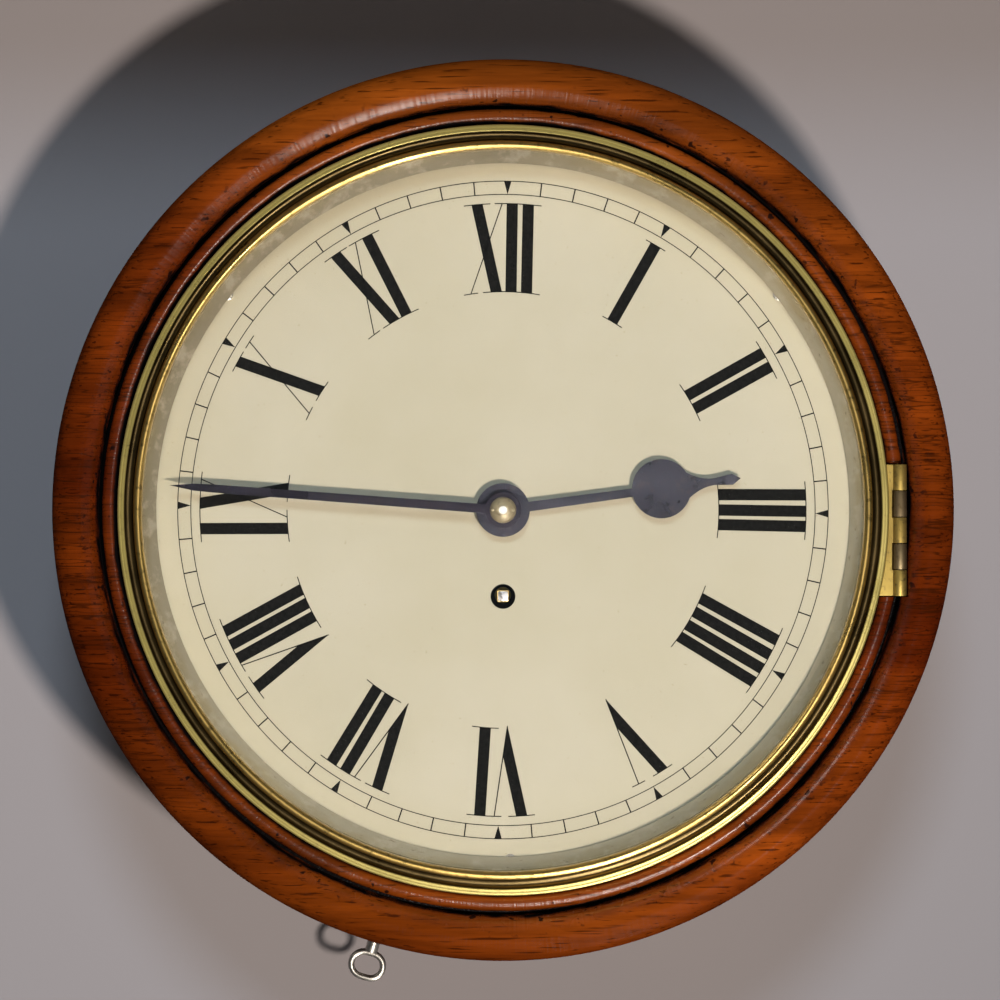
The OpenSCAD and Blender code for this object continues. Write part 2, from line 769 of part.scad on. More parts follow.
// Openings between the arms of a wheel
module crossings(r_in, hub, arm_w, arms) {
    difference() {
        circle(r = r_in);
        circle(r = hub);
        for (i = [0 : arms - 1]) rotate(i * 360 / arms + 20)
            translate([0, -arm_w / 2]) square([r_in + 1, arm_w]);
    }
}
module crossed_wheel(points, d, bore, r_in, hub, arms) {
    slab(d[0], d[1]) difference() {
        polygon(points);
        crossings(r_in, hub, 2.6, arms);
        circle(r = bore);
    }
}
function line_a(p, q) = atan2(q[1] - p[1], q[0] - p[0]);
great_d = [plate_rear - 6.5, plate_rear - 4];
centre_pinion_d = [plate_rear - 9, plate_rear - 3.5];
cone_d1 = plate_rear - 8;
cone_d0 = cone_d1 - fusee_len;
barrel_d1 = plate_rear - 9;
barrel_d0 = barrel_d1 - barrel_len;
centre_wheel_d = [back_front + 4.4, back_front + 6];
third_pinion_d = [back_front + 2, back_front + 8];
third_wheel_d = [plate_rear - 13.4, plate_rear - 12];
escape_pinion_d = [plate_rear - 15, plate_rear - 10];
escape_wheel_d = [back_front + 13.5, back_front + 15];
pallet_d = [back_front + 12.5, back_front + 16];
centre_r = 1.5;
cannon_r = 2.4;
bridge_in = cannon_r + 0.3;
bridge_out = bridge_in + 0.8;
hour_pipe_r = bridge_out + run_gap + 1.05;
third_r = 0.9;
escape_arbor_r = 0.8;
pallet_arbor_r = 1.2;
pivot_r = 0.6;
fusee_arbor_r = 3;
barrel_arbor_r = 3;
motion_m = motion_c / cannon_teeth;
hour_m = 2 * motion_c / (minute_leaves + hour_teeth);
motion_d = [plate_front + 1.5, plate_front + 2.9];
bridge_d = [plate_front + 3.9, plate_front + 5.1];
hour_wheel_d = [bridge_d[1] + 0.3, bridge_d[1] + 1.7];
cock_bar_d = [hour_wheel_d[1] + 1.7, hour_wheel_d[1] + 2.9];
pendulum_top = pallet_at[1];
cock_d = [back_rear - 10, back_rear - 7.5];

module great_wheel() {
    color(brass) at(great_at) crossed_wheel(wheel_points(great_teeth, great_m, centre_leaves,
        line_a(great_at, [0, 0])),
        great_d, fusee_arbor_r + run_gap, 25.5, 14, 4);
}
// Radius of the fusee at a share t of its length from the small end
function cone_r(t) = 1 / (t / fusee_r + (1 - t) / fusee_small_r);
fusee_turns = 16;
module fusee() {
    pitch = (fusee_len - 4) / fusee_turns;
    grooves = [for (i = [0 : fusee_turns - 1]) let (t = (i + 0.5) / fusee_turns, d = cone_d0 + 2 + i * pitch)
        each [[cone_r(t), d + 0.1], [cone_r(t) - 0.45, d + 0.3 * pitch], [cone_r(t) - 0.45, d + 0.7 * pitch],
            [cone_r(t), d + pitch - 0.1]]];
    color(brass) at(great_at) turned() polygon(concat([[fusee_arbor_r, cone_d0],
        [fusee_small_r - 0.6, cone_d0], [fusee_small_r, cone_d0 + 0.6]], grooves,
        [[fusee_r, cone_d1 - 1.5], [fusee_r, cone_d1], [fusee_arbor_r, cone_d1]]));
    color(steel) at(great_at) {
        rod(back_rear, cone_d0, 2);
        rod(back_front + 1, cone_d0, fusee_arbor_r);
        rod(cone_d0, plate_front, fusee_arbor_r);
        block([-square_w / 2, square_w / 2], [plate_front, ledge_d - 3], [-square_w / 2, square_w / 2]);
    }
}
module barrel() {
    color(brass) at(barrel_at) {
        difference() {
            rod(barrel_d0, barrel_d1, barrel_r);
            rod(barrel_d0 + 1.5, barrel_d1 - 1.5, barrel_r - 1.6);
            rod(barrel_d0 - 1, barrel_d1 + 1, barrel_arbor_r + run_gap);
        }
    }
}
module barrel_arbor() {
    ratchet_d = [plate_front + 0.3, plate_front + 2.1];
    color(steel) at(barrel_at) {
        rod(back_rear, back_front, 2);
        rod(back_front, plate_rear, barrel_arbor_r);
        rod(plate_rear, ratchet_d[0], 2.4);
        slab(ratchet_d[0], ratchet_d[1]) polygon(saw_points(20, 9, 1.1, 1));
        block([-2, 2], [ratchet_d[1], ratchet_d[1] + 5], [-2, 2]);
    }
    color(steel) at(barrel_at) slab(ratchet_d[0], ratchet_d[1]) {
        translate([0, 14]) circle(r = 3);
        polygon([[-3, 14], [3, 14], [3.6, 9.6], [2.0, 9.2]]);
    }
}
spring_turns = 5;
module mainspring() {
    r0 = barrel_arbor_r + 1.5;
    grow = (barrel_r - 1.6 - 0.7 - r0) / spring_turns;
    steps = 20;
    inner = [for (i = [0 : spring_turns * steps]) polar(r0 + grow * i / steps, i * 360 / steps)];
    outer = [for (i = [spring_turns * steps : -1 : 0]) polar(r0 + grow * i / steps + 0.6, i * 360 / steps)];
    color(steel) at(barrel_at) slab(barrel_d0 + 2, barrel_d1 - 2) {
        polygon(concat(inner, outer));
        box2(barrel_arbor_r + 0.1, r0 + 0.4, -0.1, 0.7);
    }
}
// Gut line: one unbroken tube, wound on the barrel and led to the large end of the fusee
gut_turns = 12;
gut_pitch = 1.6;
gut_sides = 6;
function gut_start() = line_a(barrel_at, great_at) + 90;
function gut_path() =
    let (a0 = gut_start(), rb = barrel_r + gut_d / 2 + 0.3, rf = fusee_r + gut_d / 2 + 0.3, d = cone_d1 - 2.5)
    concat([[great_at + polar(rf, a0), d]],
        [for (i = [0 : gut_turns * 24]) [barrel_at + polar(rb, a0 + i * 15), d - gut_pitch * i / 24]]);
module gut_line() {
    path = [for (p = gut_path()) [p[0][0], -p[1], p[0][1]]];
    last = len(path) - 1;
    rings = [for (i = [0 : last])
        let (go = path[min(i + 1, last)] - path[max(i - 1, 0)],
            side = [-go[2], 0, go[0]] / norm([go[0], go[2]]), up = cross(go, side) / norm(go))
        for (k = [0 : gut_sides - 1]) path[i] + gut_d / 2 * (side * cos(k * 60) + up * sin(k * 60))];
    skin = [for (i = [0 : last - 1], k = [0 : gut_sides - 1])
        let (a = i * gut_sides + k, b = i * gut_sides + (k + 1) % gut_sides)
        each [[a, a + gut_sides, b], [b, a + gut_sides, b + gut_sides]]];
    ends = [for (k = [1 : gut_sides - 2]) each [[0, k, k + 1],
        [last * gut_sides, last * gut_sides + k + 1, last * gut_sides + k]]];
    color("#cdb98a") polyhedron(points = rings, faces = concat(skin, ends));
}
module centre_arbor() {
    color(steel) {
        rod(back_rear, back_front + 1, 1);
        rod(back_front + 1, centre_pinion_d[0], centre_r);
        slab(centre_pinion_d[0], centre_pinion_d[1])
            polygon(pinion_points(centre_leaves, great_m, line_a([0, 0], great_at) + 180 / centre_leaves));
        difference() {
            rod(centre_pinion_d[1], minute_d + hand_t + 4, centre_r);
            cross_pin(minute_d + hand_t + 1.8, 12);
        }
    }
}
module hubbed_wheel(n, m, p, phase, d, bore, hub_l) {
    pitch = n * m / 2;
    crossed_wheel(wheel_points(n, m, p, phase), d, bore, pitch - 1.15 * m - 1.8, 3.4, 4);
    difference() {
        rod(d[1], d[1] + hub_l, 2.6);
        rod(d[1] - 1, d[1] + hub_l + 1, bore);
    }
}
module centre_wheel() {
    color(brass) hubbed_wheel(centre_teeth, centre_m, third_leaves, line_a([0, 0], third_at),
        centre_wheel_d, centre_r, 3);
}
module arbor(r, pivot, d) {
    rod(back_rear, back_front + 1, pivot);
    rod(back_front + 1, d[0], r);
    rod(d[1], plate_rear - 1, r);
    rod(plate_rear - 1, plate_front, pivot);
}
module third_arbor() {
    color(steel) at(third_at) {
        arbor(third_r, pivot_r, third_pinion_d);
        slab(third_pinion_d[0], third_pinion_d[1])
            polygon(pinion_points(third_leaves, centre_m, line_a(third_at, [0, 0]) + 180 / third_leaves));
    }
}
module third_wheel() {
    color(brass) at(third_at)
        hubbed_wheel(third_teeth, third_m, escape_leaves, line_a(third_at, escape_at),
            third_wheel_d, third_r, 3);
}
module escape_arbor() {
    color(steel) at(escape_at) {
        arbor(escape_arbor_r, pivot_r, escape_pinion_d);
        slab(escape_pinion_d[0], escape_pinion_d[1])
            polygon(pinion_points(escape_leaves, third_m, line_a(escape_at, third_at) + 180 / escape_leaves));
    }
}
escape_teeth = 33;
module escape_wheel() {
    step = 360 / escape_teeth;
    points = [for (i = [0 : escape_teeth - 1]) each [polar(escape_r - 3.2, i * step),
        polar(escape_r, (i + 0.12) * step), polar(escape_r, (i + 0.2) * step),
        polar(escape_r - 3.2, (i + 0.62) * step)]];
    color(brass) at(escape_at) {
        crossed_wheel(points, escape_wheel_d, escape_arbor_r, escape_r - 5, 3.4, 4);
        difference() {
            rod(escape_wheel_d[1], escape_wheel_d[1] + 3, 2.6);
            rod(escape_wheel_d[1] - 1, escape_wheel_d[1] + 4, escape_arbor_r);
        }
    }
}
swing = 3;
module pallet_arbor() {
    up = pallet_at[1] - escape_at[1];
    reach = 41;
    clear_r = escape_r + up * sin(reach) * sin(swing) + air;
    color(steel) at(pallet_at) {
        rod(plate_rear, plate_front, pivot_r);
        rod(cock_d[1] + 0.5, plate_rear, pallet_arbor_r);
        rod(cock_d[0], cock_d[1] + 0.5, pivot_r);
        slab(pallet_d[0], pallet_d[1]) difference() {
            union() {
                circle(r = 3.4);
                translate([0, -up]) intersection() {
                    difference() {
                        circle(r = clear_r + 3.4);
                        circle(r = clear_r);
                    }
                    polygon([[0, 0], polar(40, 90 + reach), polar(60, 90), polar(40, 90 - reach)]);
                }
                for (s = [-1, 1]) translate([0, -up]) rotate(-s * (reach - 1.5))
                    translate([-1.5, clear_r]) square([3, 2.8]);
                translate([-1.6, -up + clear_r + 1]) square([3.2, up - clear_r - 1]);
            }
        }
    }
}

// Motion work between the front plate and the dial
module cannon_wheel() {
    color(brass) difference() {
        union() {
            slab(motion_d[0], motion_d[1]) polygon(wheel_points(cannon_teeth, motion_m, cannon_teeth,
                line_a([0, 0], minute_arbor_at)));
            rod(motion_d[1], minute_d + hand_t, cannon_r);
            rod(motion_d[1], motion_d[1] + 0.7, 5);
        }
        rod(motion_d[0] - 1, minute_d + hand_t + 1, centre_r);
    }
}
module minute_wheel() {
    phase = line_a(minute_arbor_at, [0, 0]);
    color(brass) at(minute_arbor_at) difference() {
        slab(motion_d[0], motion_d[1])
            polygon(wheel_points(cannon_teeth, motion_m, cannon_teeth, phase + 180 / cannon_teeth));
        rod(motion_d[0] - 1, motion_d[1] + 1, pivot_r);
    }
    color(steel) at(minute_arbor_at) {
        rod(plate_front - 1.5, hour_wheel_d[0] - 0.6, pivot_r);
        slab(hour_wheel_d[0] - 0.6, hour_wheel_d[1] + 0.6)
            polygon(pinion_points(minute_leaves, hour_m, phase + 180 / minute_leaves));
        rod(hour_wheel_d[1] + 0.6, cock_bar_d[1], pivot_r);
    }
}
module hour_wheel() {
    color(brass) difference() {
        union() {
            slab(hour_wheel_d[0], hour_wheel_d[1]) difference() {
                polygon(wheel_points(hour_teeth, hour_m, minute_leaves, line_a([0, 0], minute_arbor_at)));
                crossings(motion_c - 4, 7, 2.6, 4);
            }
            rod(hour_wheel_d[1], hour_d + hand_t, hour_pipe_r);
        }
        rod(hour_wheel_d[0] - 1, hour_d + hand_t + 1, bridge_out + run_gap);
    }
}
bridge_foot = 19;
cock_foot_at = [26, -10];
module bar(p, q, w) {
    a = line_a(p, q);
    translate(p) rotate(a) translate([0, -w / 2]) square([norm(q - p), w]);
}
module hour_bridge() {
    color(brass) {
        difference() {
            union() {
                slab(bridge_d[0], bridge_d[1])
                    bar([-bridge_foot, -bridge_foot], [bridge_foot, bridge_foot], 6);
                for (s = [-1, 1]) at([s * bridge_foot, s * bridge_foot])
                    rod(plate_front, bridge_d[1] + 0.2, 3.5);
                rod(bridge_d[0], ledge_d + 1, bridge_out);
            }
            rod(bridge_d[0] - 1, ledge_d + 2, bridge_in);
        }
        difference() {
            union() {
                slab(cock_bar_d[0], cock_bar_d[1]) bar(cock_foot_at, minute_arbor_at, 4.4);
                at(minute_arbor_at) rod(cock_bar_d[0] - 0.2, cock_bar_d[1] + 0.2, 2.5);
                at(cock_foot_at) rod(plate_front, cock_bar_d[1] + 0.2, 3);
            }
            at(minute_arbor_at) rod(cock_bar_d[0] - 1, cock_bar_d[1] + 1, pivot_r + run_gap);
        }
    }
}

// Plates and pillars
pillar_end_r = 2.5;
module plate_outline() {
    r = 6;
    w = plate_w / 2;
    for (x = [-w + r, w - r], z = [plate_low + r, plate_high - r]) translate([x, z]) circle(r = r);
    box2(-w + r, w - r, plate_low, plate_high);
    box2(-w, w, plate_low + r, plate_high - r);
}
module bores(d0, d1, list) {
    for (b = list) at(b[0]) rod(d0 - 1, d1 + 1, b[1]);
}
module front_plate() {
    color(brass) difference() {
        slab(plate_rear, plate_front) plate_outline();
        bores(plate_rear, plate_front, concat([for (p = pillar_at) [p, pillar_end_r]],
            [for (p = foot_at) [p, foot_end_r]],
            [[[0, 0], centre_r + run_gap], [great_at, fusee_arbor_r + run_gap], [barrel_at, 2.4],
                [third_at, pivot_r + run_gap], [escape_at, pivot_r + run_gap],
                [pallet_at, pivot_r + run_gap], [minute_arbor_at, pivot_r + run_gap]]));
    }
}
module back_plate() {
    color(brass) difference() {
        slab(back_rear, back_front) plate_outline();
        bores(back_rear, back_front, concat([for (p = pillar_at) [p, pillar_end_r]],
            [[[0, 0], 1 + run_gap], [great_at, 2 + run_gap], [barrel_at, 2], [third_at, pivot_r + run_gap],
                [escape_at, pivot_r + run_gap], [pallet_at, pallet_arbor_r + 3]]));
    }
}
module pillars() {
    color(brass) for (p = pillar_at) at(p) {
        turned() polygon([[0, back_front], [pillar_r, back_front], [pillar_r, back_front + 5],
            [pillar_r - 1, back_front + 6], [pillar_r, back_front + 7.5], [pillar_r - 1.4, back_front + 10],
            [pillar_r - 1.4, plate_rear - 10], [pillar_r, plate_rear - 7.5], [pillar_r - 1, plate_rear - 6],
            [pillar_r, plate_rear - 5], [pillar_r, plate_rear], [0, plate_rear]]);
        rod(back_rear, back_front, pillar_end_r);
        difference() {
            rod(plate_rear, plate_front + 3.5, pillar_end_r);
            cross_pin(plate_front + 1, 12);
        }
        cross_pin(plate_front + 1, 11);
    }
}

// Crutch, back cock and pendulum
crutch_d = [cock_d[1] + 1.5, back_rear - 2];
crutch_len = 42;
fork_gap = 0.4;
rod_r = 1.5;
cock_reach = 17;
spring_w = 8;
arm_top = 9;
module crutch() {
    z = pallet_at[1] - crutch_len;
    x = rod_r + fork_gap;
    color(steel) {
        at(pallet_at) difference() {
            rod(crutch_d[0], crutch_d[1], 3.2);
            rod(crutch_d[0] - 1, crutch_d[1] + 1, pallet_arbor_r);
        }
        difference() {
            block([-1, 1], [crutch_d[0] + 1, crutch_d[0] + 3], [z, pallet_at[1]]);
            at(pallet_at) rod(crutch_d[0], crutch_d[1], 3);
        }
        block([-1, 1], [pendulum_d + 5, crutch_d[0] + 3], [z - 2, z]);
        block([-x - 1.2, x + 1.2], [pendulum_d + 3.8, pendulum_d + 5], [z - 2, z]);
        for (s = [-1, 1]) block([s > 0 ? x : -x - 1.2, s > 0 ? x + 1.2 : -x],
            [pendulum_d - 3, pendulum_d + 3.8], [z - 2, z]);
    }
}
module back_cock() {
    color(brass) difference() {
        union() {
            slab(cock_d[0], cock_d[1]) {
                bar(pallet_at + [-cock_reach, 0], pallet_at + [cock_reach, 0], 8);
                translate(pallet_at) box2(-5, 5, -4, arm_top);
            }
            for (s = [-1, 1]) at(pallet_at + [s * (cock_reach - 3), 0]) rod(cock_d[1], back_rear, 3);
            block([-5, 5], [pendulum_d - spring_w / 2 - 1, cock_d[0]],
                [pallet_at[1] + 1, pallet_at[1] + arm_top]);
        }
        at(pallet_at) rod(cock_d[0] - 1, cock_d[1] + 1, pivot_r + run_gap);
        block([-0.75, 0.75], [pendulum_d - spring_w / 2 - 2, pendulum_d + spring_w / 2 + 0.6],
            [pallet_at[1], pallet_at[1] + arm_top + 1]);
    }
}
module suspension_spring() {
    half = spring_w / 2;
    z = pendulum_top;
    color(steel) block([-0.12, 0.12], [pendulum_d - half, pendulum_d + half], [z - 10, z + arm_top + 0.4]);
    color(brass) {
        block([-2.5, 2.5], [pendulum_d - half, pendulum_d + half], [z + arm_top + 0.4, z + arm_top + 4]);
        block([-2, 2], [pendulum_d - half, pendulum_d + half], [z - 15, z - 10]);
    }
}
module pendulum_rod() {
    color(steel) at([0, 0]) translate([0, -pendulum_d, pendulum_top - pendulum_len - bob_r - 9])
        cylinder(h = pendulum_len + bob_r + 9 - 15, r = rod_r);
}
module pendulum_bob() {
    color(brass) at([0, pendulum_top - pendulum_len]) difference() {
        turned() polygon([[0, pendulum_d - 6.5], [9, pendulum_d - 6], [17, pendulum_d - 4.6],
            [22.5, pendulum_d - 2.6], [bob_r, pendulum_d - 0.6], [bob_r, pendulum_d + 0.6],
            [22.5, pendulum_d + 2.6], [17, pendulum_d + 4.6], [9, pendulum_d + 6], [0, pendulum_d + 6.5]]);
        translate([0, -pendulum_d, -bob_r - 1]) cylinder(h = 2 * bob_r + 2, r = rod_r);
    }
}
module rating_nut() {
    top = pendulum_top - pendulum_len - bob_r;
    color(brass) translate([0, -pendulum_d, top - 4.5]) difference() {
        cylinder(h = 4.5, r = 5);
        translate([0, 0, -1]) cylinder(h = 7, r = rod_r);
    }
}

back_board();
case_left_side();
case_right_side();
case_top();
case_bottom();
hanging_plate();
plate_screws();
dial_surround();
surround_blocks();
case_pegs();
side_door();
side_door_leaves();
side_door_knob();
bottom_door();
bottom_door_leaves();
door_hinges();
door_hinge_pins();
lock_case();
lock_bolt();
door_key();
dial_plate();
dial_screws();
dial_feet();
bezel_ring();
bezel_glass();
sight_ring();
bezel_hinge_leaf();
case_hinge_leaf();
bezel_hinge_pin();
bezel_catch();
minute_hand();
hour_hand();
hand_collet();
cannon_wheel();
hour_wheel();
minute_wheel();
hour_bridge();
front_plate();
back_plate();
pillars();
great_wheel();
fusee();
barrel();
barrel_arbor();
gut_line();
mainspring();
centre_arbor();
centre_wheel();
third_arbor();
third_wheel();
escape_arbor();
escape_wheel();
pallet_arbor();
crutch();
back_cock();
suspension_spring();
pendulum_rod();
pendulum_bob();
rating_nut();
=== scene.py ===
# %% [markdown]
# # A wall dial clock with a fusee movement
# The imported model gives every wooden, brass and steel part at its real size. This lesson adds
# what the eye reads first: the painted numerals, the turned mahogany, aged brass, blued steel
# hands and the glass. Lengths are in metres, the dial faces -Y and +Z points up.

# %% Load the frame
import math

import bmesh
import bpy
from mathutils import Matrix, Vector


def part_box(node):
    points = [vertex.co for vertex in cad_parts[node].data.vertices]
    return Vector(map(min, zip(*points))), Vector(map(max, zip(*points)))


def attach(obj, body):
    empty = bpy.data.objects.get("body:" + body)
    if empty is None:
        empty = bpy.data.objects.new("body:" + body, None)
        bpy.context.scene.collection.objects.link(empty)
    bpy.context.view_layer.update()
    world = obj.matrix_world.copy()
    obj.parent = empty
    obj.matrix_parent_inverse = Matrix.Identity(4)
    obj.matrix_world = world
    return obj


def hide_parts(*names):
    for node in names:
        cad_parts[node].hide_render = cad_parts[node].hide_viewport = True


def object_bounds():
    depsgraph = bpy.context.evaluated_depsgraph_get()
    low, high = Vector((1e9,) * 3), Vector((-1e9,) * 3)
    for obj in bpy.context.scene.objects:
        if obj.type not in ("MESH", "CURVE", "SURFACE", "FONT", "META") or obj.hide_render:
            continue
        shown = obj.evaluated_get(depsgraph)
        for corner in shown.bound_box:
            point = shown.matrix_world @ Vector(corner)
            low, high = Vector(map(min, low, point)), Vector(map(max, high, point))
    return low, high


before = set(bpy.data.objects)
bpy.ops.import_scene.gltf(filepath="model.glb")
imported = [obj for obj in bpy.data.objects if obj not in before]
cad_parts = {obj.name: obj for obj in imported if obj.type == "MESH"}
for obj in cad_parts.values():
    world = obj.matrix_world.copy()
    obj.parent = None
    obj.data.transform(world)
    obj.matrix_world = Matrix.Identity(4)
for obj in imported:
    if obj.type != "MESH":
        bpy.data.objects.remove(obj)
CAD_BOX = [list(corner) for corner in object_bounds()]
MM = 0.001
print("loaded", len(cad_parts), "nodes")

# %% [markdown]
# The photograph was taken square on to the wall, from about 1.3 m in front of the moulding.
# A long lens at that distance gives the small inward slant of the band between glass and dial.

# %% Camera
FRONT = CAD_BOX[0][1]
CAMERA_OUT = 1.3
FRAME_WIDTH = 0.3638
CAMERA_ACROSS, CAMERA_UP = -0.0011, 0.0037
camera_data = bpy.data.cameras.new("camera")
camera_data.sensor_width = 36
camera_data.lens = camera_data.sensor_width * CAMERA_OUT / FRAME_WIDTH
camera_data.clip_start = 0.05
camera = bpy.data.objects.new("camera", camera_data)
camera.location = (CAMERA_ACROSS, FRONT - CAMERA_OUT, CAMERA_UP)
camera.rotation_euler = (math.radians(90), 0, 0)
bpy.context.scene.collection.objects.link(camera)
bpy.context.scene.camera = camera
print("lens", round(camera_data.lens, 1), "mm")

# %% [markdown]
# The wall behind the clock catches its soft shadow. A dark ledge just above the picture keeps the
# daylight off the top of the wall, as in the photograph. Both are flat faces whose backs are
# see-through, so views from behind and above still show the clock. The wall is also cut open just
# inside the outline of the case, with straight cuts for its sides and a fan of them for its foot,
# or the back board would be black.

# %% Wall and ledge
def stage_face(name, color, width, height, turn, place):
    """A flat face with one painted side that the light can't pass."""
    mesh = bpy.data.meshes.new(name)
    bm = bmesh.new()
    bmesh.ops.create_grid(bm, x_segments=1, y_segments=1, size=0.5)
    bmesh.ops.scale(bm, verts=bm.verts, vec=(width, height, 1))
    bmesh.ops.rotate(bm, verts=bm.verts, matrix=Matrix.Rotation(math.radians(turn), 3, "X"))
    bmesh.ops.translate(bm, verts=bm.verts, vec=place)
    bm.to_mesh(mesh)
    bm.free()
    face = bpy.data.objects.new(name, mesh)
    bpy.context.scene.collection.objects.link(face)
    look = bpy.data.materials.new(name + " paint")
    look.use_nodes = True
    nodes, links = look.node_tree.nodes, look.node_tree.links
    nodes.clear()
    paint = nodes.new("ShaderNodeBsdfDiffuse")
    paint.inputs["Color"].default_value = (*color, 1)
    mix = nodes.new("ShaderNodeMixShader")
    links.new(nodes.new("ShaderNodeNewGeometry").outputs["Backfacing"], mix.inputs["Fac"])
    links.new(paint.outputs["BSDF"], mix.inputs[1])
    links.new(nodes.new("ShaderNodeBsdfTransparent").outputs["BSDF"], mix.inputs[2])
    links.new(mix.outputs["Shader"], nodes.new("ShaderNodeOutputMaterial").inputs["Surface"])
    mesh.materials.append(look)
    print(name, "faces", tuple(round(v) for v in mesh.polygons[0].normal))
    return face


WALL_SIZE, WALL_BACK = 6, 0.0005
LEDGE_WIDTH, LEDGE_DEPTH, LEDGE_PLACE = 3, 0.3, (0, -0.15, 0.268)
CASE_SIDE, CASE_TOP, CASE_FOOT = 0.1035, 0.1115, 0.156
FOOT_STEP, FOOT_STEPS = 8, 5
wall = stage_face("wall", (0.36, 0.335, 0.335), WALL_SIZE, WALL_SIZE, 90, (0, WALL_BACK, 0))
wall.visible_shadow = False
case_edges = [(Vector((1, 0, 0)), CASE_SIDE), (Vector((-1, 0, 0)), CASE_SIDE),
              (Vector((0, 0, 1)), CASE_TOP)]
for step in range(-FOOT_STEPS, FOOT_STEPS + 1):
    lean = math.radians(FOOT_STEP * step)
    case_edges.append((Vector((math.sin(lean), 0, -math.cos(lean))), CASE_FOOT))
bm = bmesh.new()
bm.from_mesh(wall.data)
for way, reach in case_edges:
    bmesh.ops.bisect_plane(bm, geom=bm.verts[:] + bm.edges[:] + bm.faces[:], dist=1e-6,
                           plane_co=way * reach, plane_no=way)
behind = [face for face in bm.faces
          if all(face.calc_center_median().dot(way) < reach for way, reach in case_edges)]
bmesh.ops.delete(bm, geom=behind, context="FACES")
bm.to_mesh(wall.data)
bm.free()
ledge = stage_face("ledge", (0.30, 0.28, 0.26), LEDGE_WIDTH, LEDGE_DEPTH, 180, LEDGE_PLACE)
ledge.visible_camera = False

# %% [markdown]
# Light falls on the clock as in the room. A small warm lamp stands low on the right, about a
# metre away, turned well off to the left, and throws the clear shadow up to the left. Gleams on
# polish and brass come from three lamps that only gloss can see, each placed where the photograph
# shows its reflection: the pale gleam near the top is a strip below the clock that runs from front
# to back. Cool daylight from above fills the shadows, and the rest is dim.

# %% Lamps and world
def aimed_lamp(name, size, place, aim, power, tint, long=None):
    """An area lamp that looks at a point: round, or a strip whose long side lies in depth."""
    data = bpy.data.lights.new(name, "AREA")
    data.shape = "RECTANGLE" if long else "DISK"
    data.size = size
    if long:
        data.size_y = long
    data.energy = power
    data.color = tint
    lamp = bpy.data.objects.new(name, data)
    lamp.location = place
    back = (Vector(place) - Vector(aim)).normalized()
    right = Vector((0, 1, 0)).cross(back).normalized()
    lamp.rotation_euler = Matrix((right, back.cross(right), back)).transposed().to_euler()
    bpy.context.scene.collection.objects.link(lamp)
    return lamp


MAIN_TINT, GLINT_TINT, DAY_TINT = (1.0, 0.88, 0.80), (1.0, 0.93, 0.86), (0.66, 0.82, 1.0)
DIAL_FRONT, TOP_GLEAM = (0, -0.12, 0), (-0.041, -0.13, 0.146)
main_lamp = aimed_lamp("main lamp", 0.07, (0.225, -1.05, -0.265), (-1.1, -0.05, 1.05),
                       12.6, MAIN_TINT)
near_glint = aimed_lamp("near glint", 0.07, (0.19, -1.0, -0.30), DIAL_FRONT, 5.0, GLINT_TINT)
low_glint = aimed_lamp("low glint", 0.06, (0.17, -0.56, -0.62), TOP_GLEAM,
                       12.0, GLINT_TINT, long=0.9)
side_glint = aimed_lamp("side glint", 0.8, (-0.95, -0.42, 0.95), DIAL_FRONT, 18.0, GLINT_TINT)
daylight = aimed_lamp("daylight", 0.5, (-0.05, -2.2, 1.0), (0, 0, 0), 21, DAY_TINT)
for lamp in (main_lamp, daylight):
    lamp.visible_glossy = False
for lamp in (near_glint, low_glint, side_glint):
    lamp.visible_diffuse = False
world = bpy.data.worlds.new("room")
bpy.context.scene.world = world
world.use_nodes = True
background = world.node_tree.nodes["Background"]
background.inputs["Color"].default_value = (0.88, 0.95, 1.0, 1)
background.inputs["Strength"].default_value = 0.10
bpy.context.scene.view_settings.view_transform = "Standard"
print("lamps", sorted(lamp.name for lamp in bpy.data.lights))

# %% [markdown]
# Materials share two habits. They read Object coordinates, which every part here keeps in real
# metres, and they take their grain and tarnish from node groups built once. The first helper
# makes a group and the second a material with its nodes laid out in code.

# %% Node helpers
def new_group(name, inputs, outputs):
    """A shader node group with named sockets, returned with its two end nodes."""
    group = bpy.data.node_groups.new(name, "ShaderNodeTree")
    kinds = {"color": "NodeSocketColor", "value": "NodeSocketFloat", "vector": "NodeSocketVector"}
    for title, kind, value in inputs:
        socket = group.interface.new_socket(name=title, in_out="INPUT", socket_type=kinds[kind])
        if kind == "color":
            socket.default_value = (*value, 1)
        elif kind == "value":
            socket.default_value = value
    for title, kind in outputs:
        group.interface.new_socket(name=title, in_out="OUTPUT", socket_type=kinds[kind])
    return group, group.nodes.new("NodeGroupInput"), group.nodes.new("NodeGroupOutput")


def math_node(tree, operation, a, b=0.0):
    """A math node on two values, each a number or a socket."""
    node = tree.nodes.new("ShaderNodeMath")
    node.operation = operation
    for socket, value in zip(node.inputs, (a, b)):
        if isinstance(value, (int, float)):
            socket.default_value = value
        else:
            tree.links.new(value, socket)
    return node.outputs[0]


def times(tree, a, b):
    return math_node(tree, "MULTIPLY", a, b)


def plus(tree, a, b):
    return math_node(tree, "ADD", a, b)


def minus(tree, a, b):
    return math_node(tree, "SUBTRACT", a, b)


def blend_color(tree, fac, a, b, kind="MIX"):
    """Lays one colour over another by a mask, mixed or multiplied."""
    node = tree.nodes.new("ShaderNodeMix")
    node.data_type = "RGBA"
    node.blend_type = kind
    for title, value in (("Factor", fac), ("A", a), ("B", b)):
        socket = node.inputs[title]
        if isinstance(value, tuple):
            socket.default_value = (*value, 1)
        elif isinstance(value, (int, float)):
            socket.default_value = value
        else:
            tree.links.new(value, socket)
    return node.outputs["Result"]


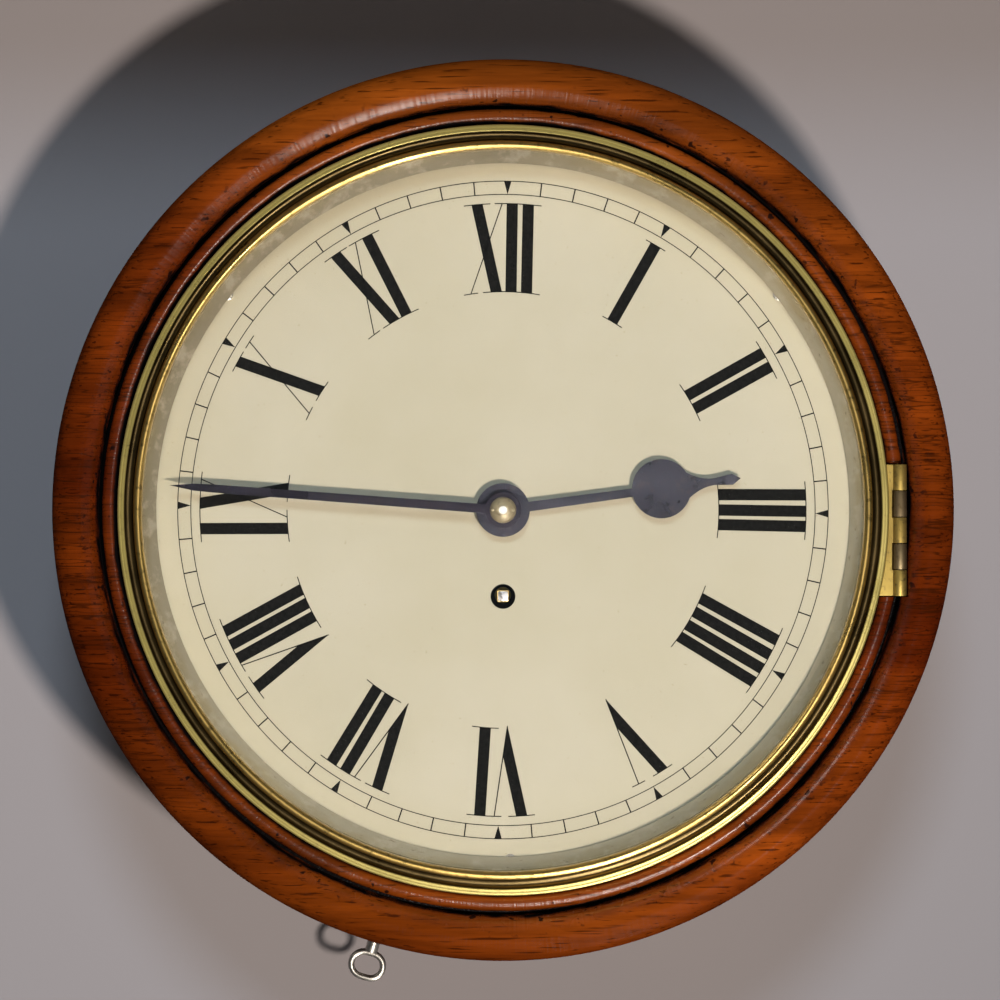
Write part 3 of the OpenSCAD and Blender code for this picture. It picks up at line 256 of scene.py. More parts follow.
def noise(tree, vector, scale, detail=4.0, rough=0.55, stretch=None):
    """Noise on a vector; stretch is a scale per axis, and below 1 draws it out along that axis."""
    if stretch:
        mapping = tree.nodes.new("ShaderNodeMapping")
        mapping.inputs["Scale"].default_value = stretch
        tree.links.new(vector, mapping.inputs["Vector"])
        vector = mapping.outputs["Vector"]
    node = tree.nodes.new("ShaderNodeTexNoise")
    node.inputs["Scale"].default_value = scale
    node.inputs["Detail"].default_value = detail
    node.inputs["Roughness"].default_value = rough
    tree.links.new(vector, node.inputs["Vector"])
    return node.outputs["Fac"]


def spread(tree, value, low, high, to_low=0.0, to_high=1.0):
    """Stretches a narrow band of values over a wider one and clamps the rest."""
    node = tree.nodes.new("ShaderNodeMapRange")
    node.inputs["From Min"].default_value = low
    node.inputs["From Max"].default_value = high
    node.inputs["To Min"].default_value = to_low
    node.inputs["To Max"].default_value = to_high
    tree.links.new(value, node.inputs["Value"])
    return node.outputs["Result"]


def radius_from(tree, coords):
    """The split coordinates, and the distance from the middle of the dial."""
    split = tree.nodes.new("ShaderNodeSeparateXYZ")
    tree.links.new(coords, split.inputs["Vector"])
    across = math_node(tree, "POWER", split.outputs["X"], 2.0)
    upward = math_node(tree, "POWER", split.outputs["Z"], 2.0)
    return split, math_node(tree, "SQRT", plus(tree, across, upward))


def new_material(name):
    """A material with a Principled shader and Object coordinates ready to use."""
    look = bpy.data.materials.new(name)
    look.use_nodes = True
    tree = look.node_tree
    coords = tree.nodes.new("ShaderNodeTexCoord").outputs["Object"]
    return look, tree, tree.nodes["Principled BSDF"], coords


def bump_into(tree, shader, height, distance, strength):
    """Feeds a height into the shader as a bump."""
    node = tree.nodes.new("ShaderNodeBump")
    node.inputs["Distance"].default_value = distance
    node.inputs["Strength"].default_value = strength
    tree.links.new(height, node.inputs["Height"])
    tree.links.new(node.outputs["Normal"], shader.inputs["Normal"])


def place_group(tree, group, vector, **values):
    """Puts a node group into a tree and sets its sockets by name."""
    node = tree.nodes.new("ShaderNodeGroup")
    node.node_tree = group
    tree.links.new(vector, node.inputs["Vector"])
    for title, value in values.items():
        socket = node.inputs[title.replace("_", " ")]
        socket.default_value = (*value, 1) if isinstance(value, tuple) else value
    return node

# %% [markdown]
# Mahogany is built up in layers: broad ribbons of light and dark, finer streaks along the grain,
# and short dark pores. The grain of the turned ring runs straight across it, because the ring was
# cut from boards, so one group on Object coordinates serves every wooden part.

# %% Wood grain group
grain_group, grain_in, grain_out = new_group(
    "mahogany grain",
    [("Vector", "vector", None), ("Light", "color", (0.235, 0.042, 0.004)),
     ("Middle", "color", (0.115, 0.016, 0.002)), ("Dark", "color", (0.022, 0.004, 0.0008)),
     ("Pores", "value", 0.75)],
    [("Color", "color"), ("Roughness", "value"), ("Height", "value")])
tree = grain_group
vector = grain_in.outputs["Vector"]
ribbons = spread(tree, noise(tree, vector, 9, 3, 0.5, (0.35, 1, 1.4)), 0.38, 0.64)
streaks = spread(tree, noise(tree, vector, 60, 5, 0.6, (0.12, 1, 1.6)), 0.36, 0.66)
fine = spread(tree, noise(tree, vector, 420, 3, 0.6, (0.05, 1, 1)), 0.42, 0.62)
pores = spread(tree, noise(tree, vector, 900, 2, 0.5, (0.045, 1, 1.3)), 0.60, 0.68)
base = blend_color(tree, ribbons, grain_in.outputs["Middle"], grain_in.outputs["Light"])
base = blend_color(tree, times(tree, streaks, 0.55), base, grain_in.outputs["Dark"])
base = blend_color(tree, times(tree, fine, 0.22), base, grain_in.outputs["Dark"])
pore_mask = times(tree, pores, grain_in.outputs["Pores"])
base = blend_color(tree, pore_mask, base, grain_in.outputs["Dark"])
tree.links.new(base, grain_out.inputs["Color"])
tree.links.new(spread(tree, fine, 0, 1, 0.42, 0.58), grain_out.inputs["Roughness"])
tree.links.new(minus(tree, 1.0, pore_mask), grain_out.inputs["Height"])
print(grain_group.name, len(tree.nodes), "nodes")

# %% [markdown]
# One helper turns the grain into a material. The same group makes the red boards of the case and,
# with paler colours and fainter pores, the bare softwood of the back.

# %% Mahogany and pine
def mahogany(name, **colors):
    """Polished wood on the grain group, for the flat parts of the case."""
    look, tree, shader, coords = new_material(name)
    grain = place_group(tree, grain_group, coords, **colors)
    tree.links.new(grain.outputs["Color"], shader.inputs["Base Color"])
    tree.links.new(grain.outputs["Roughness"], shader.inputs["Roughness"])
    bump_into(tree, shader, grain.outputs["Height"], 0.00006, 0.5)
    shader.inputs["Specular IOR Level"].default_value = 0.0
    shader.inputs["Coat Weight"].default_value = 0.4
    shader.inputs["Coat Roughness"].default_value = 0.3
    return look


case_wood = mahogany("case mahogany")
pale_wood = mahogany("inner pine", Light=(0.42, 0.26, 0.12), Middle=(0.33, 0.19, 0.085),
                     Dark=(0.16, 0.08, 0.035), Pores=0.3)
print("woods", case_wood.name, "and", pale_wood.name)

# %% [markdown]
# The turned ring has its own story. Its sides show end grain, darker and redder, with fine cross
# lines, which lie where a stretched noise passes through its middle value. Wide soft masks then
# paint light and shade onto the ring by region: painted shade at the top and the lower left, and
# painted light at the lower right, nearest the main lamp.

# %% Ring tone and painted light
TO_REDDER, TO_LINES = (0.60, 0.42, 0.42), (0.030, 0.006, 0.001)
PAINTED_SHADE_LOW_LEFT, PAINTED_SHADE_TOP, PAINTED_LIGHT_LOW_RIGHT = (0.70, 0.66, 0.60), (0.80, 0.84, 0.9), (1.28, 1.22, 1.15)
ring_wood, tree, shader, coords = new_material("ring mahogany")
grain = place_group(tree, grain_group, coords, Light=(0.33, 0.072, 0.0060),
                    Middle=(0.15, 0.025, 0.0026))
split, radius = radius_from(tree, coords)
right, up = split.outputs["X"], split.outputs["Z"]
sideways = math_node(tree, "DIVIDE", math_node(tree, "ABSOLUTE", right), radius)
end_grain = spread(tree, sideways, 0.5, 0.95)
stretched = noise(tree, coords, 380, 2, 0.5, (0.05, 0.1, 1))
ridge = math_node(tree, "ABSOLUTE", minus(tree, stretched, 0.5))
cross_lines = spread(tree, ridge, 0.026, 0.006)
lined = times(tree, cross_lines, spread(tree, end_grain, 0, 1, 0.0, 0.75))
tone = blend_color(tree, times(tree, end_grain, 0.75), grain.outputs["Color"], TO_REDDER,
                   "MULTIPLY")
tone = blend_color(tree, lined, tone, TO_LINES)
# Painted shade at the lower left and the top, painted light at the lower right.
low_left = plus(tree, right, up)
tone = blend_color(tree, spread(tree, low_left, -0.10, -0.21), tone, PAINTED_SHADE_LOW_LEFT, "MULTIPLY")
tone = blend_color(tree, spread(tree, up, 0.12, 0.16), tone, PAINTED_SHADE_TOP, "MULTIPLY")
low_right = minus(tree, times(tree, right, 0.6), up)
tone = blend_color(tree, spread(tree, low_right, 0.10, 0.18), tone, PAINTED_LIGHT_LOW_RIGHT, "MULTIPLY")
print(ring_wood.name, "tone", len(tree.nodes), "nodes")

# %% [markdown]
# The quirk is darkened to near black, and painted shade fills the crack beside the bezel, reaching
# further out at the upper left, away from the main lamp. A noise moves their edges, a finer one
# adds clots of dirt, and all of it stays on the front of the ring.

# %% Ring dirt and painted shade
QUIRK_AT, DARK_EDGE_JITTER = 0.1478, 0.0022
CRACK_LEAST, CRACK_MOST = 0.1415, 0.1428
FRONT_FROM, FRONT_FULL = -0.118, -0.120
DIRT_AND_SHADE_BLACK = (0.004, 0.003, 0.003)
uneven = times(tree, minus(tree, noise(tree, coords, 95, 3, 0.6), 0.5), DARK_EDGE_JITTER)
from_quirk = math_node(tree, "ABSOLUTE", minus(tree, radius, QUIRK_AT))
in_quirk = spread(tree, plus(tree, from_quirk, uneven), 0.0013, 0.0007)
# Painted shade in the crack beside the bezel, widest at the upper left.
shaded = minus(tree, up, times(tree, right, 1.3))
reach = spread(tree, shaded, -0.12, 0.16, CRACK_LEAST, CRACK_MOST)
painted_crack_shade = spread(tree, plus(tree, minus(tree, radius, reach), uneven), 0.0005, -0.0004)
dirt_and_shade = math_node(tree, "MAXIMUM", in_quirk, painted_crack_shade)
clots = spread(tree, noise(tree, coords, 240, 2, 0.5), 0.66, 0.70)
clots = times(tree, clots, spread(tree, from_quirk, 0.009, 0.003, 0.0, 0.9))
dirt_and_shade = math_node(tree, "MAXIMUM", dirt_and_shade, clots)
dirt_and_shade = times(tree, dirt_and_shade, spread(tree, split.outputs["Y"], FRONT_FROM, FRONT_FULL))
# Clots of dirt, the near-black quirk and the painted shade share one dark colour.
tree.links.new(blend_color(tree, dirt_and_shade, tone, DIRT_AND_SHADE_BLACK), shader.inputs["Base Color"])
print(ring_wood.name, "dirt_and_shade", len(tree.nodes), "nodes")

# %% [markdown]
# Hands and dusters have dulled the crown of the moulding, so most of the gloss is left near the
# quirk, where chatter marks from the lathe break it into short streaks. Gloss is a clear coat over
# the wood, with its own roughness and its own slight swell.

# %% Ring gloss
GLOSS_FULL, GLOSS_WORN = 0.1518, 0.1540
CHATTER = 110
tree.links.new(grain.outputs["Roughness"], shader.inputs["Roughness"])
shader.inputs["Specular IOR Level"].default_value = 0.0
kept = spread(tree, radius, GLOSS_FULL, GLOSS_WORN, 0.75, 0.02)
turn = tree.nodes.new("ShaderNodeCombineXYZ")
tree.links.new(math_node(tree, "ARCTAN2", up, right), turn.inputs["X"])
chatter = noise(tree, turn.outputs["Vector"], CHATTER, 3, 0.6)
kept = times(tree, kept, spread(tree, chatter, 0.38, 0.60, 0.35, 1.0))
tree.links.new(times(tree, kept, spread(tree, dirt_and_shade, 0, 1, 1.0, 0.12)), shader.inputs["Coat Weight"])
tree.links.new(spread(tree, noise(tree, coords, 45, 3, 0.6), 0.35, 0.65, 0.20, 0.32),
               shader.inputs["Coat Roughness"])
bump_into(tree, shader, grain.outputs["Height"], 0.00006, 0.6)
swell = plus(tree, times(tree, noise(tree, coords, 60, 1.5, 0.5), 4.0), times(tree, chatter, 2.0))
rippled = tree.nodes.new("ShaderNodeBump")
rippled.inputs["Distance"].default_value = 0.00014
rippled.inputs["Strength"].default_value = 0.6
tree.links.new(swell, rippled.inputs["Height"])
tree.links.new(rippled.outputs["Normal"], shader.inputs["Coat Normal"])
print(ring_wood.name, "gloss", len(tree.nodes), "nodes")

# %% [markdown]
# Old brass is never one colour. Polished spots stay yellow, and brown and greenish tarnish
# gathers over the rest in clouds and fine specks.

# %% Tarnish group
tarnish_group, tarnish_in, tarnish_out = new_group(
    "brass tarnish",
    [("Vector", "vector", None), ("Bright", "color", (0.50, 0.34, 0.10)),
     ("Dull", "color", (0.22, 0.15, 0.055)), ("Stain", "color", (0.07, 0.05, 0.02)),
     ("Wear", "value", 0.5), ("Matte", "value", 0.24)],
    [("Color", "color"), ("Roughness", "value"), ("Height", "value")])
tree = tarnish_group
vector = tarnish_in.outputs["Vector"]
clouds = spread(tree, noise(tree, vector, 38, 6, 0.62), 0.34, 0.66)
specks = spread(tree, noise(tree, vector, 420, 4, 0.6), 0.55, 0.72)
base = blend_color(tree, times(tree, clouds, tarnish_in.outputs["Wear"]),
                   tarnish_in.outputs["Bright"], tarnish_in.outputs["Dull"])
stain = times(tree, specks, tarnish_in.outputs["Wear"])
base = blend_color(tree, stain, base, tarnish_in.outputs["Stain"])
tree.links.new(base, tarnish_out.inputs["Color"])
matte = plus(tree, tarnish_in.outputs["Matte"], times(tree, clouds, 0.18))
tree.links.new(matte, tarnish_out.inputs["Roughness"])
tree.links.new(specks, tarnish_out.inputs["Height"])
print(tarnish_group.name, len(tree.nodes), "nodes")

# %% [markdown]
# One helper turns the tarnish into a metal. Dirt and old lacquer hide some of the shine, so a metal
# can be less than fully metallic.

# %% Aged metal helper
def aged_metal(name, metallic=1.0, **values):
    """A metal on the tarnish group, whose values are set by name."""
    look, tree, shader, coords = new_material(name)
    tarnish = place_group(tree, tarnish_group, coords, **values)
    tree.links.new(tarnish.outputs["Color"], shader.inputs["Base Color"])
    tree.links.new(tarnish.outputs["Roughness"], shader.inputs["Roughness"])
    shader.inputs["Metallic"].default_value = metallic
    bump_into(tree, shader, tarnish.outputs["Height"], 0.00004, 0.4)
    return look


# %% [markdown]
# Each metal of the clock is then one call with its own colours: bright where the tarnish is thin,
# dull under its clouds and dark in its stains. Wear says how strong the tarnish is, and Matte how
# rough the metal is without it.

# %% Metals
CLEAN = {"Bright": (0.70, 0.50, 0.17), "Dull": (0.52, 0.36, 0.12), "Wear": 0.4}
bezel_brass = aged_metal("bezel brass", Bright=(0.40, 0.29, 0.085), Dull=(0.20, 0.145, 0.05),
                         Wear=0.75)
clean_brass = aged_metal("movement brass", **CLEAN)
hinge_brass = aged_metal("hinge brass", metallic=0.8, Bright=(0.36, 0.26, 0.065),
                         Dull=(0.23, 0.16, 0.04), Wear=0.9, Matte=0.46)
dark_brass = aged_metal("tarnished brass", Bright=(0.20, 0.155, 0.085), Dull=(0.11, 0.08, 0.045),
                        Wear=0.8, Matte=0.5)
old_steel = aged_metal("old steel", Bright=(0.42, 0.40, 0.36), Dull=(0.26, 0.24, 0.21),
                       Stain=(0.10, 0.07, 0.05), Wear=0.7)
blued_steel = aged_metal("blued steel", metallic=0.8, Bright=(0.023, 0.024, 0.034),
                         Dull=(0.015, 0.014, 0.020), Stain=(0.05, 0.04, 0.035), Wear=0.6)
dark_blued = aged_metal("dark blued steel", metallic=0.8, Bright=(0.015, 0.013, 0.022),
                        Dull=(0.006, 0.005, 0.007), Stain=(0.02, 0.016, 0.014), Wear=0.7)
collet_brass = aged_metal("collet brass", metallic=0.3, Bright=(0.26, 0.215, 0.125),
                          Dull=(0.17, 0.135, 0.075), Wear=0.8, Matte=0.42)
key_steel = aged_metal("rubbed steel", metallic=0.7, Bright=(0.42, 0.42, 0.43),
                       Dull=(0.24, 0.24, 0.25), Wear=0.9, Matte=0.3)
train_steel = aged_metal("train steel", Bright=(0.55, 0.54, 0.52), Dull=(0.40, 0.39, 0.37),
                         Wear=0.35)
gut = aged_metal("gut", metallic=0.0, Bright=(0.62, 0.50, 0.30), Dull=(0.50, 0.38, 0.21), Wear=0.5)
print("materials so far", len(bpy.data.materials))

# %% [markdown]
# The bezel was spun and only its outer flat and its lip were ever polished. The flat has gone an
# even olive gold, the hollow beside it is dark with tarnish and painted shade, and the lip is
# browner and pitted. One radius in the material tells the three bands apart.

# %% Bezel brass in bands
HOLLOW_IN, HOLLOW_OUT, FLAT_IN = (0.1347, 0.1352), (0.1386, 0.1383), (0.1382, 0.1385)
HOLLOW_TARNISH_AND_SHADE = (0.085, 0.06, 0.025)
bezel_bands, tree, shader, coords = new_material("spun bezel brass")
radius = radius_from(tree, coords)[1]
tarnish = place_group(tree, tarnish_group, coords, Bright=(0.60, 0.42, 0.13),
                      Dull=(0.33, 0.22, 0.07), Wear=0.8)
flat = place_group(tree, tarnish_group, coords, Bright=(0.41, 0.34, 0.10),
                   Dull=(0.33, 0.265, 0.075), Stain=(0.22, 0.17, 0.06), Wear=0.5)
on_flat = spread(tree, radius, *FLAT_IN)
in_hollow = times(tree, spread(tree, radius, *HOLLOW_IN), spread(tree, radius, *HOLLOW_OUT))
tint = blend_color(tree, on_flat, tarnish.outputs["Color"], flat.outputs["Color"])
# The hollow is dark with tarnish and painted shade.
tint = blend_color(tree, in_hollow, tint, HOLLOW_TARNISH_AND_SHADE)
tree.links.new(tint, shader.inputs["Base Color"])
tree.links.new(spread(tree, on_flat, 0, 1, 1.0, 0.55), shader.inputs["Metallic"])
tree.links.new(tarnish.outputs["Roughness"], shader.inputs["Roughness"])
bump_into(tree, shader, tarnish.outputs["Height"], 0.00003, 0.35)
print(bezel_bands.name, len(tree.nodes), "nodes")

# %% [markdown]
# The slip behind the glass was silvered by rubbing silver salts on brass. Near the dial it stays
# pale, toward the glass the brass shows through greenish, and spots of tarnish break it. Painted
# shade darkens its upper left.

# %% Silvering
PALE_FROM, BRASSY_FROM, WEAR_JITTER = 0.1292, 0.1318, 0.006
SILVER, BRASSY, SHADOWED = (0.42, 0.38, 0.28), (0.37, 0.31, 0.18), (0.50, 0.485, 0.45)
PALE_STREAK, DARK_SPOT = (0.55, 0.50, 0.40), (0.13, 0.10, 0.05)
silvered, tree, shader, coords = new_material("worn silvering")
split, radius = radius_from(tree, coords)
patches = noise(tree, coords, 60, 4, 0.6)
worn = plus(tree, radius, times(tree, minus(tree, patches, 0.5), WEAR_JITTER))
tint = blend_color(tree, spread(tree, worn, PALE_FROM, BRASSY_FROM), SILVER, BRASSY)
# Painted shade over the upper left of the slip.
corner = minus(tree, split.outputs["Z"], split.outputs["X"])
tint = blend_color(tree, spread(tree, corner, 0.0, 0.13), tint, SHADOWED, "MULTIPLY")
streak = spread(tree, noise(tree, coords, 150, 3, 0.6, (1, 0.4, 1)), 0.52, 0.66)
tint = blend_color(tree, times(tree, streak, 0.4), tint, PALE_STREAK)
spots = spread(tree, noise(tree, coords, 330, 3, 0.6), 0.64, 0.72)
tint = blend_color(tree, times(tree, spots, 0.6), tint, DARK_SPOT)
tree.links.new(tint, shader.inputs["Base Color"])
shader.inputs["Metallic"].default_value = 0.25
tree.links.new(spread(tree, patches, 0.3, 0.7, 0.36, 0.54), shader.inputs["Roughness"])
bump_into(tree, shader, spots, 0.00003, 0.5)
print(silvered.name, len(tree.nodes), "nodes")

# %% [markdown]
# The dial is sheet iron under thick cream paint. It has darkened unevenly and carries tiny
# specks, so a flat colour would look printed. Painted shade darkens it toward the edge, most at the
# upper left. The markings are the same paint in black.

# %% Dial paints
EDGE_SHADE_FROM, EDGE_SHADE_FULL, EDGE_SHADE_TINT = 0.112, 0.129, (0.80, 0.79, 0.76)
CREAM_DARK, CREAM_PALE, BROWN_DOT = (0.53, 0.485, 0.345), (0.57, 0.525, 0.39), (0.36, 0.29, 0.17)
BLACK, BLACK_WORN = (0.006, 0.006, 0.005), (0.016, 0.015, 0.013)
dial_paint, tree, shader, coords = new_material("cream dial paint")
cloud = spread(tree, noise(tree, coords, 14, 4, 0.6), 0.35, 0.65)
tint = blend_color(tree, cloud, CREAM_DARK, CREAM_PALE)
dots = spread(tree, noise(tree, coords, 900, 2, 0.5), 0.70, 0.76)
tint = blend_color(tree, times(tree, dots, 0.5), tint, BROWN_DOT)
split, radius = radius_from(tree, coords)
# Painted shade toward the edge and the upper left.
corner = minus(tree, split.outputs["Z"], split.outputs["X"])
painted_edge_shade = plus(tree, times(tree, spread(tree, radius, EDGE_SHADE_FROM, EDGE_SHADE_FULL), 0.6),
             times(tree, spread(tree, corner, 0.11, 0.18), 0.6))
tint = blend_color(tree, painted_edge_shade, tint, EDGE_SHADE_TINT, "MULTIPLY")
tree.links.new(tint, shader.inputs["Base Color"])
shader.inputs["Roughness"].default_value = 0.5
shader.inputs["Specular IOR Level"].default_value = 0.15
bump_into(tree, shader, noise(tree, coords, 240, 3, 0.6), 0.00003, 0.35)

black_paint, tree, shader, coords = new_material("black dial paint")
wear = spread(tree, noise(tree, coords, 700, 4, 0.6), 0.35, 0.75)
tree.links.new(blend_color(tree, wear, BLACK, BLACK_WORN), shader.inputs["Base Color"])
shader.inputs["Roughness"].default_value = 0.5
shader.inputs["Specular IOR Level"].default_value = 0.0
print("paints", dial_paint.name, "and", black_paint.name)

# %% [markdown]
# The glass bends and reflects light, with faint smears. Light that only passes through it on the
# way to the dial goes straight, so the shadows of the bezel and the hands stay clear.

# %% Glass
glass, tree, shader, coords = new_material("clock glass")
shader.inputs["Base Color"].default_value = (0.97, 0.98, 0.97, 1)
shader.inputs["Transmission Weight"].default_value = 1.0
shader.inputs["IOR"].default_value = 1.45
smear = noise(tree, coords, 30, 3, 0.6)
tree.links.new(spread(tree, smear, 0.3, 0.7, 0.0, 0.02), shader.inputs["Roughness"])
path = tree.nodes.new("ShaderNodeLightPath")
plain_ray = math_node(tree, "MAXIMUM", path.outputs["Is Shadow Ray"],
                      path.outputs["Is Diffuse Ray"])
ray_mix = tree.nodes.new("ShaderNodeMixShader")
see_through = tree.nodes.new("ShaderNodeBsdfTransparent")
tree.links.new(plain_ray, ray_mix.inputs["Fac"])
tree.links.new(shader.outputs["BSDF"], ray_mix.inputs[1])
tree.links.new(see_through.outputs["BSDF"], ray_mix.inputs[2])
tree.links.new(ray_mix.outputs["Shader"], tree.nodes["Material Output"].inputs["Surface"])
print(glass.name, len(tree.nodes), "nodes")

# %% [markdown]
# The front plate is brass too, but painted shade blackens it round the winding arbor, where it
# shows through the hole in the dial.

# %% Front plate with painted shade
ARBOR_BELOW, ARBOR_SHADE_OUT, ARBOR_SHADE_FULL, ARBOR_SHADE_BLACK = 0.032, 0.013, 0.009, (0.006, 0.005, 0.003)
shaded_front_plate, tree, shader, coords = new_material("front plate brass with painted shade")
tarnish = place_group(tree, tarnish_group, coords, **CLEAN)
shifted = tree.nodes.new("ShaderNodeVectorMath")
shifted.operation = "ADD"
shifted.inputs[1].default_value = (0, 0, ARBOR_BELOW)
tree.links.new(coords, shifted.inputs[0])
# Painted shade, black round the winding arbor, where the hole in the dial shows it.
arbor_shade = spread(tree, radius_from(tree, shifted.outputs["Vector"])[1], ARBOR_SHADE_OUT, ARBOR_SHADE_FULL)
tree.links.new(blend_color(tree, arbor_shade, tarnish.outputs["Color"], ARBOR_SHADE_BLACK),
               shader.inputs["Base Color"])
tree.links.new(tarnish.outputs["Roughness"], shader.inputs["Roughness"])
tree.links.new(spread(tree, arbor_shade, 0, 1, 1.0, 0.0), shader.inputs["Metallic"])
shader.inputs["Specular IOR Level"].default_value = 0.1
print(shaded_front_plate.name, len(tree.nodes), "nodes")

# %% [markdown]
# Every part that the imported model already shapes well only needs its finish. The others are made
# again further down and get theirs there.

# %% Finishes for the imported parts
FINISHES = {
    case_wood: ["case_pegs"],
    pale_wood: ["surround_blocks"],
    bezel_brass: ["bezel_catch"],
    hinge_brass: ["side_door_knob"],
    collet_brass: ["hand_collet"],
    dark_brass: ["hanging_plate", "door_hinges", "side_door_leaves", "bottom_door_leaves"],
    old_steel: ["dial_screws", "door_key", "lock_case", "plate_screws", "door_hinge_pins",
                "bezel_hinge_pin"],
    gut: ["gut_line"],
    dial_paint: ["dial_plate"],
    glass: ["bezel_glass"],
    clean_brass: ["lock_bolt", "dial_feet", "cannon_wheel", "hour_wheel", "minute_wheel",
                  "hour_bridge", "back_plate", "pillars", "great_wheel", "fusee",
                  "barrel", "centre_wheel", "third_wheel", "escape_wheel", "back_cock",
                  "pendulum_bob", "rating_nut"],
    shaded_front_plate: ["front_plate"],
    train_steel: ["mainspring", "barrel_arbor", "centre_arbor", "third_arbor", "escape_arbor",
                  "pallet_arbor", "crutch", "suspension_spring", "pendulum_rod"],
}
for look, names in FINISHES.items():
    for name in names:
        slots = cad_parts[name].data.materials
        for index in range(len(slots)):
            slots[index] = look
finished = {name for names in FINISHES.values() for name in names}
print("made again below:", sorted(set(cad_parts) - finished))

# %% [markdown]
# Every shape made here goes through one helper. It cleans the mesh, shades it smooth but for its
# sharp edges, gives it its material, ties it to the body that it rides on, and hides the imported
# parts that it replaces.

# %% Piece helper
SHARP_OVER = 35
LEVEL, PLATE_AREA = 0.99995, 2e-5


def new_piece(name, bm, look, body, slot, *nodes, plates=False):
    """Turns a bmesh into a finished piece that rides on a body and may replace CAD nodes.

    Plates keep their many-cornered faces and their large level ones flat. A face that looks
    straight down isn't counted, because it may be the lowest facet of the round foot.
    """
    bmesh.ops.remove_doubles(bm, verts=bm.verts, dist=1e-7)
    bmesh.ops.recalc_face_normals(bm, faces=bm.faces)
    mesh = bpy.data.meshes.new(name)
    bm.to_mesh(mesh)
    bm.free()
    mesh.materials.append(look)
    mesh.shade_smooth()
    mesh.set_sharp_from_angle(angle=math.radians(SHARP_OVER))
    if plates:
        for face in mesh.polygons:
            level = max(abs(face.normal.x), abs(face.normal.y), face.normal.z) > LEVEL
            face.use_smooth = len(face.vertices) < 5 and not (level and face.area > PLATE_AREA)
    piece = bpy.data.objects.new(name, mesh)
    bpy.context.scene.collection.objects.link(piece)
    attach(piece, body)
    if nodes:
        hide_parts(*nodes)
    print(name, len(mesh.polygons), "faces")
    return piece


# %% [markdown]
# Dial markings are inked on the paint by hand, so they stand a hair above it. Each stroke is a
# few corner points, each line round the dial is a short edge spun about the centre, and one
# extrude gives them all the thickness of ink. The markings in the photograph are a touch narrow,
# by about one part in ninety, which the last scale repeats.

# %% Ink helpers
DIAL_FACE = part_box("dial_plate")[0].y
INK_SUNK, INK_THICK = 0.05, 0.09
OVAL = 0.989
ARC_STEP = 1.5


def on_ring(across, radius):
    """A point in mm at a distance across from the upright, on a circle round the centre."""
    return Vector((across, 0, math.sqrt(radius ** 2 - across ** 2)))


def ink_shape(bm, corners, turn):
    """A flat filled shape, turned clockwise about the dial's centre."""
    turned = Matrix.Rotation(math.radians(turn), 3, "Y")
    bm.faces.new([bm.verts.new(turned @ corner * MM) for corner in corners])


def ink_arc(bm, radius, width, start, sweep):
    """A line round the centre, from a start angle over a sweep, both clockwise in degrees."""
    turned = Matrix.Rotation(math.radians(start), 3, "Y")
    ends = [bm.verts.new(turned @ Vector((0, 0, radius + side * width / 2)) * MM)
            for side in (-1, 1)]
    edge = bm.edges.new(ends)
    steps = max(2, round(abs(sweep) / ARC_STEP))
    bmesh.ops.spin(bm, geom=ends + [edge], cent=(0, 0, 0), axis=(0, 1, 0), use_merge=sweep == 360,
                   angle=math.radians(sweep), steps=steps)


def lay_ink(bm, name):
    """Gives flat shapes their thickness and sets them on the dial."""
    bmesh.ops.scale(bm, verts=bm.verts, vec=(OVAL, 1, 1))
    for face in bm.faces:
        face.normal_update()
        if face.normal.y > 0:
            face.normal_flip()
    bmesh.ops.translate(bm, verts=bm.verts, vec=(0, DIAL_FACE + INK_SUNK * MM, 0))
    raised = bmesh.ops.extrude_face_region(bm, geom=bm.faces[:])
    front = [item for item in raised["geom"] if isinstance(item, bmesh.types.BMVert)]
    bmesh.ops.translate(bm, verts=front, vec=(0, -INK_THICK * MM, 0))
    return new_piece(name, bm, black_paint, "case", "dial_plate")


print("dial face at", round(DIAL_FACE, 4))

# %% [markdown]
# The minute track is two thin circles with a fine mark for each minute and a wedge at each hour.
# The wedges were placed by eye, so each has a small turn of its own.

# %% Minute track
TRACK_OUTER, TRACK_INNER = 121.7, 116.8
TRACK_LINE, MARK_HALF, WEDGE_HALF = 0.32, 0.24, 1.4
MARK_TURN = 0.84
FIVE_TURNS = (0.84, 0.35, 0.47, 0.63, 0.47, 1.2, 0.87, 1.3, 1.3, 0.82, 1.0, 0.86)
bm = bmesh.new()
for radius in (TRACK_OUTER, TRACK_INNER):
    ink_arc(bm, radius, TRACK_LINE, 0, 360)
for minute in range(60):
    if minute % 5:
        corners = [on_ring(MARK_HALF * side, radius) for side, radius in
                   ((-1, TRACK_INNER), (-1, TRACK_OUTER), (1, TRACK_OUTER), (1, TRACK_INNER))]
        ink_shape(bm, corners, minute * 6 + MARK_TURN)
    else:
        corners = [on_ring(0, TRACK_INNER), on_ring(-WEDGE_HALF, TRACK_OUTER),
                   on_ring(WEDGE_HALF, TRACK_OUTER)]
        ink_shape(bm, corners, minute * 6 + FIVE_TURNS[minute // 5])
lay_ink(bm, "minute_track")

# %% [markdown]
# The feet of each roman numeral point to the centre. A stroke is given by how far its outer and
# inner ends lie from the hour's own line, in millimetres, as they were painted, a little off. I is
# a bar, X a bar and a hairline that cross, and V a bar cut off along its hairline.

